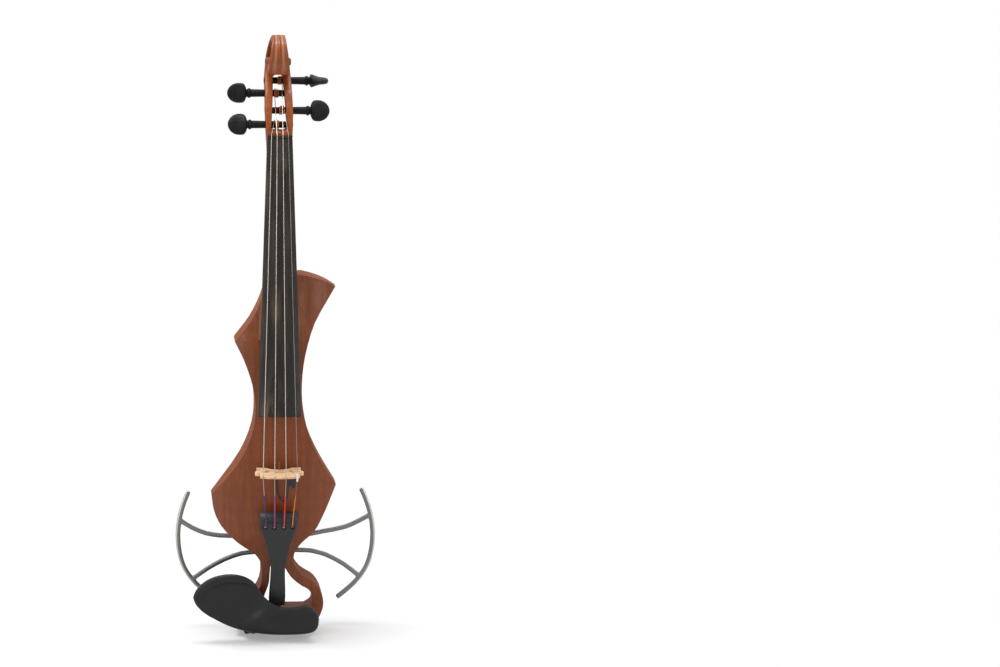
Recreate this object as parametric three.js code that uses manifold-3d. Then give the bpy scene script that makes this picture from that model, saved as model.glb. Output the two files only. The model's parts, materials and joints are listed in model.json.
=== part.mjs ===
// An electric violin with an open tail, an open scroll ring and an arched solid body.
// Millimetres. X runs to the treble side, Y runs to the back, Z runs up the neck.
// Every place is measured from the back plane of the body, its middle line and the
// underside of the end button. The whole group is then moved so that the origin is
// the place inside the top of the scroll ring where the instrument hangs on its hook.

import * as THREE from "three";
import { mergeVertices } from "three/addons/utils/BufferGeometryUtils.js";
import Module from "manifold-3d";

const wasm = await Module();
wasm.setup();
const { Manifold, Mesh: SolidMesh } = wasm;

// Gaps that every piece shares.
const clearance = 0.3;
const overrun = 6;
const halfTurn = Math.PI;
const quarterTurn = halfTurn / 2;

// Body. The shares below are of bodyHalf across and of bodyLong upwards.
const bodyFoot = 8;
const bodyLong = 351;
const bodyHalf = 64.2;
const bodyDeep = 45.2;
const archDrop = 28;
const plateThick = 2;
const seamZ = bodyFoot + bodyLong;

const bottomEdgeShares = [[0.561, 0]];
const trebleLoopShares = [
  [0.695, 0.051], [0.701, 0.083], [0.584, 0.125], [0.374, 0.151], [0.265, 0.179],
  [0.252, 0.211], [0.37, 0.246], [0.555, 0.276], [0.715, 0.329], [0.895, 0.403],
];
const trebleWaistShares = [
  [0.645, 0.48], [0.465, 0.553], [0.364, 0.632], [0.345, 0.699], [0.396, 0.78], [0.542, 0.866],
  [0.864, 0.961],
];
const hornTopShares = [[0.702, 0.979], [0.539, 0.991], [0.352, 1]];
const seamEdgeShares = [[-0.148, 1]];
const buttonShares = [
  [0.165, 1], [0.154, 1.018], [0.104, 1.035], [0.022, 1.042], [-0.065, 1.036], [-0.118, 1.021],
  [-0.148, 1],
];
const bassShoulderShares = [[-0.206, 0.969], [-0.269, 0.931], [-0.421, 0.873], [-0.66, 0.814]];
const bassWaistShares = [
  [-0.526, 0.765], [-0.392, 0.692], [-0.352, 0.638], [-0.385, 0.57], [-0.56, 0.488],
  [-1, 0.373],
];
const bassLoopShares = [
  [-0.957, 0.325], [-0.848, 0.286], [-0.59, 0.242], [-0.35, 0.214], [-0.259, 0.189],
  [-0.238, 0.16], [-0.255, 0.123], [-0.396, 0.073], [-0.639, 0],
];
const openingBassShares = [
  [-0.087, 0.195], [-0.114, 0.165], [-0.131, 0.128], [-0.193, 0.094], [-0.232, 0.068],
  [-0.195, 0.049], [-0.125, 0.046],
];
const openingFootShares = [[0.436, 0.046]];
const openingTrebleShares = [
  [0.534, 0.059], [0.548, 0.083], [0.48, 0.108], [0.36, 0.121], [0.205, 0.146],
  [0.1, 0.178], [0.045, 0.197], [-0.012, 0.202],
];
// Height of the arch's crest as a share of bodyDeep, against the share of bodyLong.
const crestShares = [
  [-0.03, 0.841], [0, 0.841], [0.057, 0.814], [0.177, 0.81], [0.217, 0.827], [0.236, 0.872],
  [0.256, 0.912], [0.279, 0.942], [0.33, 0.982], [0.393, 1], [0.49, 1], [0.561, 0.987],
  [0.675, 0.971], [0.741, 0.954], [0.783, 0.936], [0.818, 0.912], [0.846, 0.858],
  [0.877, 0.81], [0.92, 0.783], [0.974, 0.765], [1.02, 0.761],
];
const archColumnShares = [
  -1.1, -0.98, -0.86, -0.73, -0.6, -0.45, -0.28, 0, 0.28, 0.45, 0.6, 0.73, 0.86, 0.98, 1.1,
];
// Below the first share of bodyLong the front is flat across, above the second it is arched.
const flatBelowShare = 0.215;
const archedAboveShare = 0.24;

// Neck, fingerboard and nut. The board lies on a slanting glue plane.
const neckLong = 131.6;
const glueBack = 22.9;
const boardTilt = 6.83 * (halfTurn / 180);
const boardLong = 268;
const boardNutHalf = 12.2;
const boardEndHalf = 21;
const boardEdge = 5;
const crownRadius = 42;
const boardScoop = 1.7;
const nutThick = 3;
const nutProud = 0.3;
const nutZ = seamZ + neckLong;
const neckStandoff = 22.8;
const blockLong = 62;
const blockInset = 1.6;
const blockFillet = 4;
const rootLong = 30;
// Neck stations: share of neckLong up, share of neckStandoff to the back line, share of the
// section's own half width at the back, roundness of the section.
const neckStationShares = [
  [0, 0.088, 0.62, 9], [0.053, 0.088, 0.55, 9], [0.085, 0.088, 0.42, 8], [0.103, 0.1, 0.34, 7],
  [0.112, 0.386, 0.4, 5.5], [0.123, 0.658, 0.55, 4.4], [0.144, 0.864, 0.75, 3.4],
  [0.175, 0.965, 0.9, 2.8], [0.215, 1, 1, 2.5], [0.262, 0.987, 1, 2.3], [0.403, 0.899, 1, 2.2],
  [0.555, 0.794, 1, 2.2], [0.661, 0.754, 1, 2.2], [0.843, 0.632, 1, 2.3], [0.905, 0.57, 1, 2.5],
];
const neckSectionSteps = 10;

// Head. The shares below are of headLong, both ways.
const headLong = 110.5;
const headDrop = 14;
const headFoot = nutZ - headDrop;
const headFrontShares = [
  [-0.178, 0.232], [-0.156, 0.304], [-0.129, 0.375], [-0.084, 0.445], [-0.03, 0.513],
  [0.022, 0.553], [0.076, 0.597], [0.121, 0.633], [0.157, 0.668], [0.173, 0.708],
  [0.152, 0.739],
];
const scrollRingShares = [
  [0.134, 0.721], [0.112, 0.69], [0.076, 0.667], [0.027, 0.655], [-0.048, 0.682],
  [-0.093, 0.739], [-0.108, 0.811], [-0.099, 0.873], [-0.066, 0.931], [0.005, 0.984],
  [0.094, 1], [0.193, 0.975], [0.272, 0.908], [0.317, 0.828], [0.333, 0.748],
];
const headBackShares = [
  [0.326, 0.685], [0.308, 0.624], [0.281, 0.57], [0.237, 0.517], [0.175, 0.454],
  [0.121, 0.401], [0.076, 0.339], [0.045, 0.277], [0.03, 0.223], [0.024, 0.178],
  [0.03, 0.125], [0.045, 0.081],
];
const chinShares = [[-0.022, 0.081], [-0.066, 0.063], [-0.098, 0.036], [-0.118, 0]];
const scrollHoleShares = [
  [0.244, 0.699], [0.268, 0.717], [0.274, 0.748], [0.272, 0.801], [0.246, 0.873],
  [0.193, 0.926], [0.13, 0.945], [0.076, 0.945], [0.014, 0.922], [-0.035, 0.873],
  [-0.053, 0.811], [-0.039, 0.757], [-0.004, 0.721], [0.04, 0.705], [0.085, 0.73],
  [0.107, 0.768], [0.124, 0.793], [0.149, 0.8], [0.179, 0.792], [0.199, 0.764],
  [0.208, 0.739], [0.223, 0.708],
];
// Half widths of the head: share of headLong up, then shares of headHalf at front and back.
const headHalf = 13.4;
const headWidthShares = [
  [-0.02, 0.92, 0.5], [0.08, 0.92, 0.56], [0.12, 0.92, 0.78], [0.18, 0.95, 0.93],
  [0.34, 1, 1], [0.6, 0.94, 0.97], [0.66, 0.8, 0.93], [0.72, 0.73, 0.88], [0.8, 0.68, 0.83],
  [0.89, 0.58, 0.7], [0.95, 0.52, 0.58], [1.02, 0.42, 0.44],
];
const widthBlendShares = [-0.4, 0.02, 0.12, 0.22, 0.5];
const eyeRadius = 4.7;
const eyeHalf = 12.7;
const eyeRim = 1.4;
const eyeShares = [0.15, 0.759];
const slotTopShare = 0.644;
const slotFootShare = 0.183;
const slotTopHalf = 4.9;
const slotFootHalf = 7.8;

// Pegs. Each has its shares of headLong, the side of its head and the turn of its thumb.
const pegTable = {
  g: { shares: [-0.075, 0.232], side: -1, turn: 15, windAt: 4.4 },
  d: { shares: [0.109, 0.487], side: -1, turn: -15, windAt: 3.8 },
  e: { shares: [-0.013, 0.349], side: 1, turn: -12, windAt: 4.8 },
  a: { shares: [0.195, 0.59], side: 1, turn: 90, windAt: 4.1 },
};
const pegEndRadius = 3.1;
const pegTaper = 0.0195;
const pegPast = 0.2;
const collarAt = 27;
const collarLong = 2.2;
const collarRadius = 5.1;
const thumbAt = 30.8;
const thumbLong = 18.4;
const thumbHalf = 10.5;
const thumbThickHalf = 6.7;
// Thumb stations: share of thumbLong, share of thumbHalf, share of thumbThickHalf.
const thumbShares = [
  [0, 0.5, 0.55], [0.06, 0.75, 0.98], [0.15, 0.95, 0.95], [0.32, 1, 0.77], [0.52, 0.99, 0.57],
  [0.7, 0.88, 0.53], [0.85, 0.68, 0.48], [0.95, 0.42, 0.38], [1, 0.18, 0.2],
];
const thumbCrispShare = 0.05;
const pegHoleSpare = 0.45;

// Strings, their silk and the loops on the pegs.
const stringTable = {
  g: { radius: 0.4, nutX: -8.1, bridgeX: -16.5, keyX: -13 },
  d: { radius: 0.38, nutX: -2.8, bridgeX: -5.5, keyX: -4.6 },
  a: { radius: 0.34, nutX: 2.8, bridgeX: 5.5, keyX: 4.6 },
  e: { radius: 0.25, nutX: 8.1, bridgeX: 16.5, keyX: 13 },
};
const windRadius = 0.45;
const windLoops = 3;
const windPitch = 1.37;
const windSteps = 24;
const windSides = 6;
const stringSides = 8;
const sleeveRadius = 0.95;
const sleeveLong = 5.4;

// Bridge. Its shares are of bridgeTall, across and up from the body's crest.
const bridgeTall = 34;
const stringLong = 324.2;
const bridgeFoot = nutZ - stringLong;
const bridgeThick = 5.2;
const bridgeTopThick = 2.2;
const bridgeLean = 1.4;
const bridgeCrown = 45;
const bridgeSideShares = [
  [0.635, 0.035], [0.547, 0.088], [0.494, 0.159], [0.497, 0.247], [0.571, 0.306],
  [0.659, 0.344], [0.694, 0.418], [0.674, 0.494], [0.606, 0.518], [0.562, 0.491],
  [0.544, 0.559], [0.55, 0.7], [0.568, 0.824], [0.556, 0.874],
];
const footOuterShare = 0.629;
const footInnerShare = 0.359;
const bridgeArchShares = [[0.312, 0.053], [0.247, 0.118], [0.135, 0.171], [0, 0.188]];
const heartShares = [
  [0, 0.312], [0.047, 0.376], [0.126, 0.441], [0.147, 0.512], [0.106, 0.571],
  [0.047, 0.565], [0.018, 0.524],
];
const kidneyShares = [
  [0.253, 0.265], [0.341, 0.241], [0.394, 0.3], [0.382, 0.376], [0.447, 0.453],
  [0.418, 0.518], [0.341, 0.506], [0.318, 0.424], [0.265, 0.365],
];
const pinRadius = 1.1;
const pinLong = 7.4;
const pinDeep = 53;

// Pickup lead, looped by hand from behind the bridge down in front of the body.
const leadRadius = 0.875;
const leadSides = 8;
const leadSteps = 26;
const leadDrop = 27.2;
// Lead places, as shares of leadDrop: across, before the crest and down from bridgeFoot.
const leadShares = [
  [0.32, 0.312, 0], [0.32, 0.32, 0.135], [0.323, 0.331, 0.444], [0.305, 0.346, 0.774],
  [0.241, 0.278, 0.947], [0.128, 0.165, 1], [0.015, 0.083, 0.865], [-0.045, 0.083, 0.609],
  [-0.075, 0.128, 0.327], [-0.075, 0.128, 0.135], [-0.075, 0.128, 0],
];
const flagLong = 13;
const flagWide = 7.4;
const flagThick = 1.6;
const flagNarrow = 3.4;
const flagX = 13.8;
const flagDeep = 54.5;

// Tailpiece: share of tailLong up, half width, front depth and back depth as shares.
const tailFoot = 33.4;
const tailLong = 97.6;
const tailHalf = 19.2;
const ridgeDeep = 69.5;
const ridgeShare = 0.923;
const tailCrown = 40;
const tailRearShare = 0.94;
const tailFaceSteps = 8;
const tailpieceShares = [
  [0, 0.36, 0.683, 0.622], [0.02, 0.42, 0.7, 0.614], [0.098, 0.43, 0.728, 0.634],
  [0.2, 0.41, 0.756, 0.664], [0.3, 0.382, 0.781, 0.694], [0.416, 0.37, 0.81, 0.724],
  [0.58, 0.526, 0.848, 0.752], [0.652, 0.604, 0.864, 0.764], [0.73, 0.74, 0.88, 0.778],
  [0.819, 0.911, 0.9, 0.79], [0.885, 0.969, 0.93, 0.802], [0.901, 0.979, 0.956, 0.806],
  [0.923, 0.99, 0.986, 0.809], [0.959, 1, 0.965, 0.817], [0.986, 0.984, 0.912, 0.814],
  [1, 0.906, 0.866, 0.811],
];
// The tailpiece hangs a little askew: its foot is this far to the bass side.
const tailAside = 0.9;
const keyDrop = 15.3;
const keyZ = tailFoot + tailLong - keyDrop;
const keyRadius = 2.2;
const keySlotHalf = 0.7;
const keySlotDrop = 5.8;
const keySlotTop = tailFoot + tailLong - keySlotDrop;
const ballRadius = 1.5;
const ballHalf = 1;

// Tail gut, saddle and end button.
const gutRadius = 1;
const gutSides = 8;
const gutSpread = 2.9;
const gutEaseShare = 1.06;
const gutLoopSteps = 10;
const gutLoopPast = halfTurn / 9;
const saddleHalf = 6;
const saddleFoot = 23;
const saddleLong = 7;
const saddleDeep = 42.5;
const buttonDeep = 13.4;
const capRadius = 6.25;
const capLong = 4.9;
const stemRadius = 3.9;
const stemLong = 17.5;

// Chinrest. Its shares are of cupSpan, measured from cupX and cupFoot.
const cupX = -22;
const cupFoot = 6.2;
const cupSpan = 62;
const cupShares = [
  [-0.852, 0.397], [-0.623, 0.244], [-0.377, 0.128], [-0.098, 0.046], [0.197, 0.007],
  [0.525, 0.002], [0.852, 0.026], [0.959, 0.082], [0.998, 0.213], [0.99, 0.348],
  [0.905, 0.462], [0.78, 0.518], [0.657, 0.489], [0.485, 0.466], [0.313, 0.505],
  [0.164, 0.62], [0.066, 0.748], [-0.033, 0.902], [-0.205, 1.003], [-0.402, 1.034],
  [-0.646, 0.993], [-0.854, 0.869], [-0.993, 0.63],
];
// Depths at cupX and cupFoot. From there the cup tips forwards to the treble side and upwards.
const cupFront = 58.6;
const cupBack = 48.6;
const cupTipAcrossShare = 0.068;
const cupTipUpShare = 0.164;
// Cup levels: share of the depth from the front to the back, and the inset there.
const cupLevelShares = [0, 0.1, 0.34, 0.66, 0.9, 1];
const cupInsets = [2.6, 0.5, 0, 1.2, 4, 6.4];
const dishCentre = [-44, 41];
const dishHalf = [33, 7, 22.5];
const dipCentre = [10, 22];
const dipHalf = [26, 2.6, 10.5];
const baseHalf = 33;
const baseFoot = 10.4;
const baseSink = 7.4;
const baseTop = 27;
const baseBack = 41.2;
const gutPassHalf = 9;
const gutPassFront = 47;
const corkThick = 2.8;
const corkFoot = 9.6;
const corkTop = 22.6;
const corkHalf = 8.5;
const clampX = 26.8;
const clampWide = 18.6;
const clampThick = 1.6;
const clampTop = 18;
const clampFoot = 4.4;
const clampFootHalf = 5;
const clampShoulder = 5.4;
const clampFront = 46;
const clampCork = 0.8;
const barrelRadius = 2.1;
const barrelZ = 5.5;
const barrelLong = 40;
const screwRadius = 1.1;
const screwSocket = 0.8;

// Shoulder frame. Its shares are of frameHalf, measured from frameFoot upwards.
const frameHalf = 99.5;
const frameScrewZ = 86.2;
const screwUpShare = 0.606;
const frameFoot = frameScrewZ - screwUpShare * frameHalf;
const frameThick = 4.4;
const rimWide = 4.7;
const spokeWide = 4.3;
// The two wings are not alike. Each curve is one edge, the other edge lies beside it.
const trebleWing = {
  rimShares: [
    [0.872, 1.143], [0.92, 1.034], [0.97, 0.872], [0.996, 0.677], [0.982, 0.49],
    [0.942, 0.342], [0.873, 0.222], [0.762, 0.1], [0.632, -0.006],
  ],
  upperShares: [
    [0.15, 0.679], [0.256, 0.679], [0.467, 0.716], [0.685, 0.759], [0.814, 0.816],
    [0.94, 0.884],
  ],
  lowerShares: [
    [0.11, 0.53], [0.186, 0.528], [0.345, 0.521], [0.434, 0.5], [0.519, 0.472],
    [0.692, 0.376], [0.84, 0.258],
  ],
  yokeShares: [
    [0.172, 0.679], [0.2, 0.64], [0.176, 0.6], [0.172, 0.55], [0.16, 0.5], [0.125, 0.474],
    [0.082, 0.5], [0.04, 0.528], [0, 0.54],
  ],
};
const bassWing = {
  rimShares: [
    [0.888, 1.128], [0.93, 1.021], [0.974, 0.864], [0.993, 0.677], [0.976, 0.49],
    [0.935, 0.347], [0.866, 0.23], [0.756, 0.107], [0.627, 0],
  ],
  upperShares: [
    [0.15, 0.664], [0.256, 0.666], [0.422, 0.681], [0.55, 0.686], [0.685, 0.71],
    [0.819, 0.767], [0.943, 0.848],
  ],
  lowerShares: [
    [0.11, 0.52], [0.186, 0.514], [0.345, 0.498], [0.519, 0.437], [0.692, 0.341],
    [0.845, 0.232],
  ],
  yokeShares: [
    [0.172, 0.664], [0.2, 0.63], [0.176, 0.594], [0.172, 0.545], [0.16, 0.495], [0.125, 0.47],
    [0.082, 0.5], [0.04, 0.528], [0, 0.54],
  ],
};
const frameScrewX = 9.15;
const frameScrewMid = -3.35;
const screwHeadRadius = 4.6;
const screwHeadProud = 2.4;
const screwShank = 2;
const screwDeep = 14;
const driveWide = 1;

// Control module, let into the back.
const moduleUpShare = 0.391;
const moduleZ = bodyFoot + moduleUpShare * bodyLong;
const bezelRight = 29.5;
const bezelLeft = -27.4;
const bezelRise = 41.9;
const bezelTop = moduleZ + bezelRise;
const bezelFoot = moduleZ - bezelRise;
const bezelThick = 4;
const bezelRound = 3;
const tubRight = 28;
const tubLeft = -25.7;
const tubRise = 39.4;
const tubTop = moduleZ + tubRise;
const tubFoot = moduleZ - tubRise;
const tubDeep = 25.6;
const tubWall = 1.5;
const faceProud = 1.9;
const cavityRight = -3.6;
const boardThick = 1.6;
const boardTop = 8;
const ledge = 1;

// Battery and its door. The door hangs at its lower edge.
const doorRight = 27;
const doorLeft = -2;
const doorRise = 38.3;
const doorTop = moduleZ + doorRise;
const doorLong = 55.2;
const doorFoot = doorTop - doorLong;
const doorThick = 1.7;
const fingerWide = 12;
const batteryLeft = 0;
const batteryWide = 26;
const batteryLong = 48.5;
const batteryThick = 17.5;
const batteryLift = 2.7;
const batteryFoot = doorFoot + batteryLift;
const terminalLong = 2.6;
const terminalRadius = 2.6;

// Headphone socket, switch and knobs, each placed across and up from the module's middle.
const socketX = -7.7;
const socketRise = 34.8;
const socketAt = [socketX, moduleZ + socketRise];
const socketRadius = 3.75;
const socketBore = 1.8;
const socketDeep = 12;
const switchX = -13.95;
const switchRise = 24.85;
const switchAt = [switchX, moduleZ + switchRise];
const switchWide = 15.5;
const switchTall = 9.1;
const switchRim = 0.8;
const switchRound = 1.2;
const switchBoxWide = 12;
const switchBoxTall = 6.4;
const sliderWide = 6;
const sliderTall = 3.4;
const sliderTravel = 1.5;
const sliderProud = 2.2;
const sliderDeep = 3.4;
const knobX = -7.6;
const knobOutX = -20.3;
const [volumeRise, trebleRise, bassDrop] = [14.6, 5, 4.2];
const knobTable = {
  volume: [knobX, moduleZ + volumeRise],
  treble: [knobOutX, moduleZ + trebleRise],
  bass: [knobX, moduleZ - bassDrop],
};
const knobRadius = 3.35;
const knobTop = 13.2;
const knobStem = 1.5;
const potRadius = 3.4;
const potDeep = 6.5;

// Output jack in its own box, which ends on the bass side.
const jackRight = 16.5;
const jackLeft = -9.5;
const jackDrop = 28.9;
const jackZ = moduleZ - jackDrop;
const jackHalf = 9.7;
const jackTop = jackZ + jackHalf;
const jackFoot = jackZ - jackHalf;
const jackProud = 17.9;
const jackY = 10.5;
const jackBodyRadius = 5.4;
const jackBodyLong = 20;
const threadRadius = 4.5;
const threadLong = 12.4;
const nutRadius = 6.3;
const nutLong = 3;
const plugBore = 3.2;

// Helpers.

function toSolid(geometry) {
  const bare = geometry.clone();
  bare.deleteAttribute("normal");
  bare.deleteAttribute("uv");
  const merged = mergeVertices(bare);
  const vertProperties = Float32Array.from(merged.attributes.position.array);
  const triVerts = Uint32Array.from(merged.index.array);
  return new Manifold(new SolidMesh({ numProp: 3, vertProperties, triVerts }));
}

function toGeometry(solid) {
  const mesh = solid.getMesh();
  const geometry = new THREE.BufferGeometry();
  geometry.setAttribute("position", new THREE.BufferAttribute(mesh.vertProperties, 3));
  geometry.setIndex(new THREE.BufferAttribute(mesh.triVerts, 1));
  return geometry;
}

function joined(geometries) {
  return geometries.map(toSolid).reduce((whole, next) => whole.add(next));
}

function spread(shares, wide, long, from = [0, 0]) {
  return shares.map(([across, up]) => new THREE.Vector2(from[0] + across * wide, from[1] + up * long));
}

function mirrored(points) {
  return points.map((point) => new THREE.Vector2(-point.x, point.y)).reverse();
}

function curveThrough(points, stepsPerSpan, closed = false) {
  const flat = points.map((point) => new THREE.Vector3(point.x, point.y, 0));
  const path = new THREE.CatmullRomCurve3(flat, closed, "centripetal");
  const spans = closed ? points.length : points.length - 1;
  const places = path.getPoints(spans * stepsPerSpan);
  return (closed ? places.slice(1) : places).map((place) => new THREE.Vector2(place.x, place.y));
}

// A closed outline of smooth runs that meet at corners. Each run starts where the last ends.
function joinRuns(runs, stepsPerSpan) {
  const outline = [];
  let last = runs.at(-1).at(-1);
  for (const run of runs) {
    outline.push(...curveThrough([last, ...run], stepsPerSpan).slice(1));
    last = run.at(-1);
  }
  return outline;
}

function circle(radius, sides, x = 0, y = 0) {
  return Array.from({ length: sides }, (_, side) => {
    const turn = (2 * halfTurn * side) / sides;
    return new THREE.Vector2(x + radius * Math.cos(turn), y + radius * Math.sin(turn));
  });
}

function roundedBox(left, right, foot, top, round) {
  const outline = [];
  const centres = [[right, foot, -1], [right, top, 0], [left, top, 1], [left, foot, 2]];
  for (const [x, y, quarter] of centres) {
    const inX = x === right ? x - round : x + round;
    const inY = y === top ? y - round : y + round;
    for (const step of [0, 0.5, 1]) {
      const turn = quarterTurn * (quarter + step);
      outline.push(new THREE.Vector2(inX + round * Math.cos(turn), inY + round * Math.sin(turn)));
    }
  }
  return outline;
}

function box(left, right, front, back, foot, top) {
  const size = new THREE.BoxGeometry(right - left, back - front, top - foot);
  return size.translate((left + right) / 2, (front + back) / 2, (foot + top) / 2);
}

function signedArea(points) {
  return points.reduce((sum, point, i) => {
    const next = points[(i + 1) % points.length];
    return sum + (point.x * next.y - next.x * point.y) / 2;
  }, 0);
}

const turned = (points, way) => (signedArea(points) * way > 0 ? points : [...points].reverse());

// A prism over an outline, whose holes turn the other way round.
function prism(outline, holes, depth) {
  const shape = new THREE.Shape(turned(outline, 1));
  shape.holes = holes.map((hole) => new THREE.Path(turned(hole, -1)));
  return new THREE.ExtrudeGeometry(shape, { depth, bevelEnabled: false });
}

// An outline in X and Z, thickened from the back towards the strings.
function plateXZ(outline, back, thick, holes = []) {
  const plate = prism(outline, holes, thick);
  return plate.rotateX(quarterTurn).translate(0, back, 0);
}

// An outline in Y and Z, thickened from the bass side to the treble side.
function plateYZ(outline, left, wide, holes = []) {
  const plate = prism(outline, holes, wide);
  return plate.rotateX(quarterTurn).rotateZ(quarterTurn).translate(left, 0, 0);
}

// An outline in X and Y, thickened up the instrument.
function plateXY(outline, foot, tall, holes = []) {
  return prism(outline, holes, tall).translate(0, 0, foot);
}

function rodX(radius, left, long, sides = 24, endRadius = radius) {
  const rod = new THREE.CylinderGeometry(endRadius, radius, long, sides);
  return rod.rotateZ(-quarterTurn).translate(left + long / 2, 0, 0);
}

function rodY(radius, front, long, sides = 24) {
  return new THREE.CylinderGeometry(radius, radius, long, sides).translate(0, front + long / 2, 0);
}

function rodZ(radius, foot, long, sides = 24) {
  const rod = new THREE.CylinderGeometry(radius, radius, long, sides);
  return rod.rotateX(quarterTurn).translate(0, 0, foot + long / 2);
}

// Triangles that fill one flat ring, all turning the same way as the ring does. A ring that
// its own middle sees all round gets a hub there, and any other ring is cut into ears.
function capFaces(ring, flatten) {
  const flat = ring.map(flatten);
  const whole = signedArea(flat);
  const middle = ring.reduce((sum, place) => sum.add(place), new THREE.Vector3());
  middle.divideScalar(ring.length);
  const hub = flatten(middle);
  const fan = flat.map((_, i) => [i, (i + 1) % flat.length, flat.length]);
  if (fan.every(([a, b]) => signedArea([flat[a], flat[b], hub]) * whole > 0)) {
    return { faces: fan, hubs: [middle] };
  }
  const ears = THREE.ShapeUtils.triangulateShape(flat, []).map(([a, b, c]) => {
    const part = signedArea([flat[a], flat[b], flat[c]]);
    return part * whole < 0 ? [a, c, b] : [a, b, c];
  });
  return { faces: ears, hubs: [] };
}

function volumeOf(places, faces) {
  return faces.reduce((sum, [a, b, c]) => {
    const cross = new THREE.Vector3().crossVectors(places[b], places[c]);
    return sum + places[a].dot(cross) / 6;
  }, 0);
}

// A closed skin over a row of rings that all have the same number of places.
function loft(rings, flatten) {
  const count = rings[0].length;
  const places = rings.flat();
  const faces = [];
  for (let level = 0; level < rings.length - 1; level += 1) {
    for (let i = 0; i < count; i += 1) {
      const next = (i + 1) % count;
      const [a, b] = [level * count + i, level * count + next];
      faces.push([a, b, b + count], [a, b + count, a + count]);
    }
  }
  [rings[0], rings.at(-1)].forEach((ring, end) => {
    const { faces: filled, hubs } = capFaces(ring, flatten);
    const start = end * (rings.length - 1) * count;
    const place = (i) => (i < count ? start + i : places.length);
    for (const [a, b, c] of filled) {
      faces.push(end ? [place(a), place(b), place(c)] : [place(a), place(c), place(b)]);
    }
    places.push(...hubs);
  });
  const outward = volumeOf(places, faces) > 0;
  const index = faces.flatMap(([a, b, c]) => (outward ? [a, b, c] : [a, c, b]));
  const geometry = new THREE.BufferGeometry().setFromPoints(places);
  return geometry.setIndex(index);
}

const alongZ = (place) => new THREE.Vector2(place.x, place.y);
const alongY = (place) => new THREE.Vector2(place.x, place.z);
const alongX = (place) => new THREE.Vector2(place.y, place.z);

// A wire's path that keeps every corner that it is given.
class BentWire extends THREE.Curve {
  constructor(corners) {
    super();
    this.corners = corners;
  }

  getPoint(share, target = new THREE.Vector3()) {
    return target.copy(this.corners[Math.round(share * (this.corners.length - 1))]);
  }

  getSpacedPoints() {
    return this.corners;
  }

  getTangentAt(share, target = new THREE.Vector3()) {
    const last = this.corners.length - 1;
    const here = Math.round(share * last);
    const into = this.heading(Math.max(here - 1, 0));
    const onward = this.heading(Math.min(here, last - 1));
    return target.addVectors(into, onward).normalize();
  }

  heading(from) {
    return new THREE.Vector3().subVectors(this.corners[from + 1], this.corners[from]).normalize();
  }
}

function wire(corners, radius, sides) {
  const path = new BentWire(corners);
  const section = new THREE.Shape(circle(radius, sides));
  const settings = { steps: corners.length - 1, extrudePath: path, bevelEnabled: false };
  return new THREE.ExtrudeGeometry(section, settings);
}

function blendTable(table, at, column) {
  const above = table.findIndex((row) => row[0] >= at);
  if (above <= 0) return above === 0 ? table[0][column] : table.at(-1)[column];
  const [low, high] = [table[above - 1], table[above]];
  const share = (at - low[0]) / (high[0] - low[0]);
  return low[column] + (high[column] - low[column]) * share;
}

// Shared shapes of the instrument.

// Depth of the arched front before the back plane, at x across and z up.
function frontDeep(x, z) {
  const up = (z - bodyFoot) / bodyLong;
  const arched = THREE.MathUtils.smoothstep(up, flatBelowShare, archedAboveShare);
  return bodyDeep * blendTable(crestShares, up, 1) - archDrop * arched * (Math.abs(x) / bodyHalf) ** 3;
}

const glueY = (z) => -glueBack - Math.tan(boardTilt) * (nutZ - z);
const boardHalfAt = (down) => boardNutHalf + ((boardEndHalf - boardNutHalf) * down) / boardLong;
const crownDrop = (x, radius) => radius - Math.sqrt(radius ** 2 - x ** 2);

function bodyOutline(topRuns) {
  const runs = [
    bottomEdgeShares, trebleLoopShares, trebleWaistShares, hornTopShares, ...topRuns,
    bassShoulderShares, bassWaistShares, bassLoopShares,
  ];
  const placed = runs.map((shares) => spread(shares, bodyHalf, bodyLong, [0, bodyFoot]));
  return joinRuns(placed, 3);
}

function tailOpening() {
  const runs = [openingBassShares, openingFootShares, openingTrebleShares];
  return joinRuns(runs.map((shares) => spread(shares, bodyHalf, bodyLong, [0, bodyFoot])), 3);
}

// Body.

function archedFront() {
  const rings = crestShares.map(([up]) => {
    const z = bodyFoot + up * bodyLong;
    const front = archColumnShares.map((share) => {
      const x = share * bodyHalf;
      return new THREE.Vector3(x, -frontDeep(x, z), z);
    });
    const half = archColumnShares.at(-1) * bodyHalf;
    const back = [new THREE.Vector3(half, overrun, z), new THREE.Vector3(-half, overrun, z)];
    return [...front, ...back];
  });
  return loft(rings, alongZ);
}

// The raised block that carries the lower part of the fingerboard.
function boardBlock() {
  const rings = [seamZ, seamZ - blockLong / 2, seamZ - blockLong].map((z) => {
    const half = boardHalfAt(nutZ - z) - blockInset;
    const top = glueY(z) + clearance;
    const base = -frontDeep(0, z) + blockFillet / 4;
    const side = [
      [half, top], [half, base - blockFillet / 2], [half + blockFillet / 3, base - blockFillet / 6],
      [half + blockFillet, base], [half, base + blockFillet],
    ];
    const right = side.map(([x, y]) => new THREE.Vector3(x, y, z));
    const left = side.map(([x, y]) => new THREE.Vector3(-x, y, z)).reverse();
    return [...right, ...left];
  });
  return loft(rings, alongZ);
}

// One D-shaped section of the neck, from its glue plane to its back line.
function neckSection(z, backY, backShare, roundness) {
  const half = boardHalfAt(nutZ - z) - clearance;
  const top = glueY(z) + clearance;
  const deep = backY - top;
  const ring = [];
  for (let step = 0; step <= neckSectionSteps; step += 1) {
    const turn = quarterTurn * ((2 * step) / neckSectionSteps - 1);
    const out = Math.sign(Math.sin(turn)) * Math.abs(Math.sin(turn)) ** (2 / roundness);
    const down = Math.abs(Math.cos(turn)) ** (2 / roundness);
    const narrow = 1 - (1 - backShare) * down;
    ring.push(new THREE.Vector3(half * out * narrow, top + deep * down, z));
  }
  return ring;
}

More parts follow.
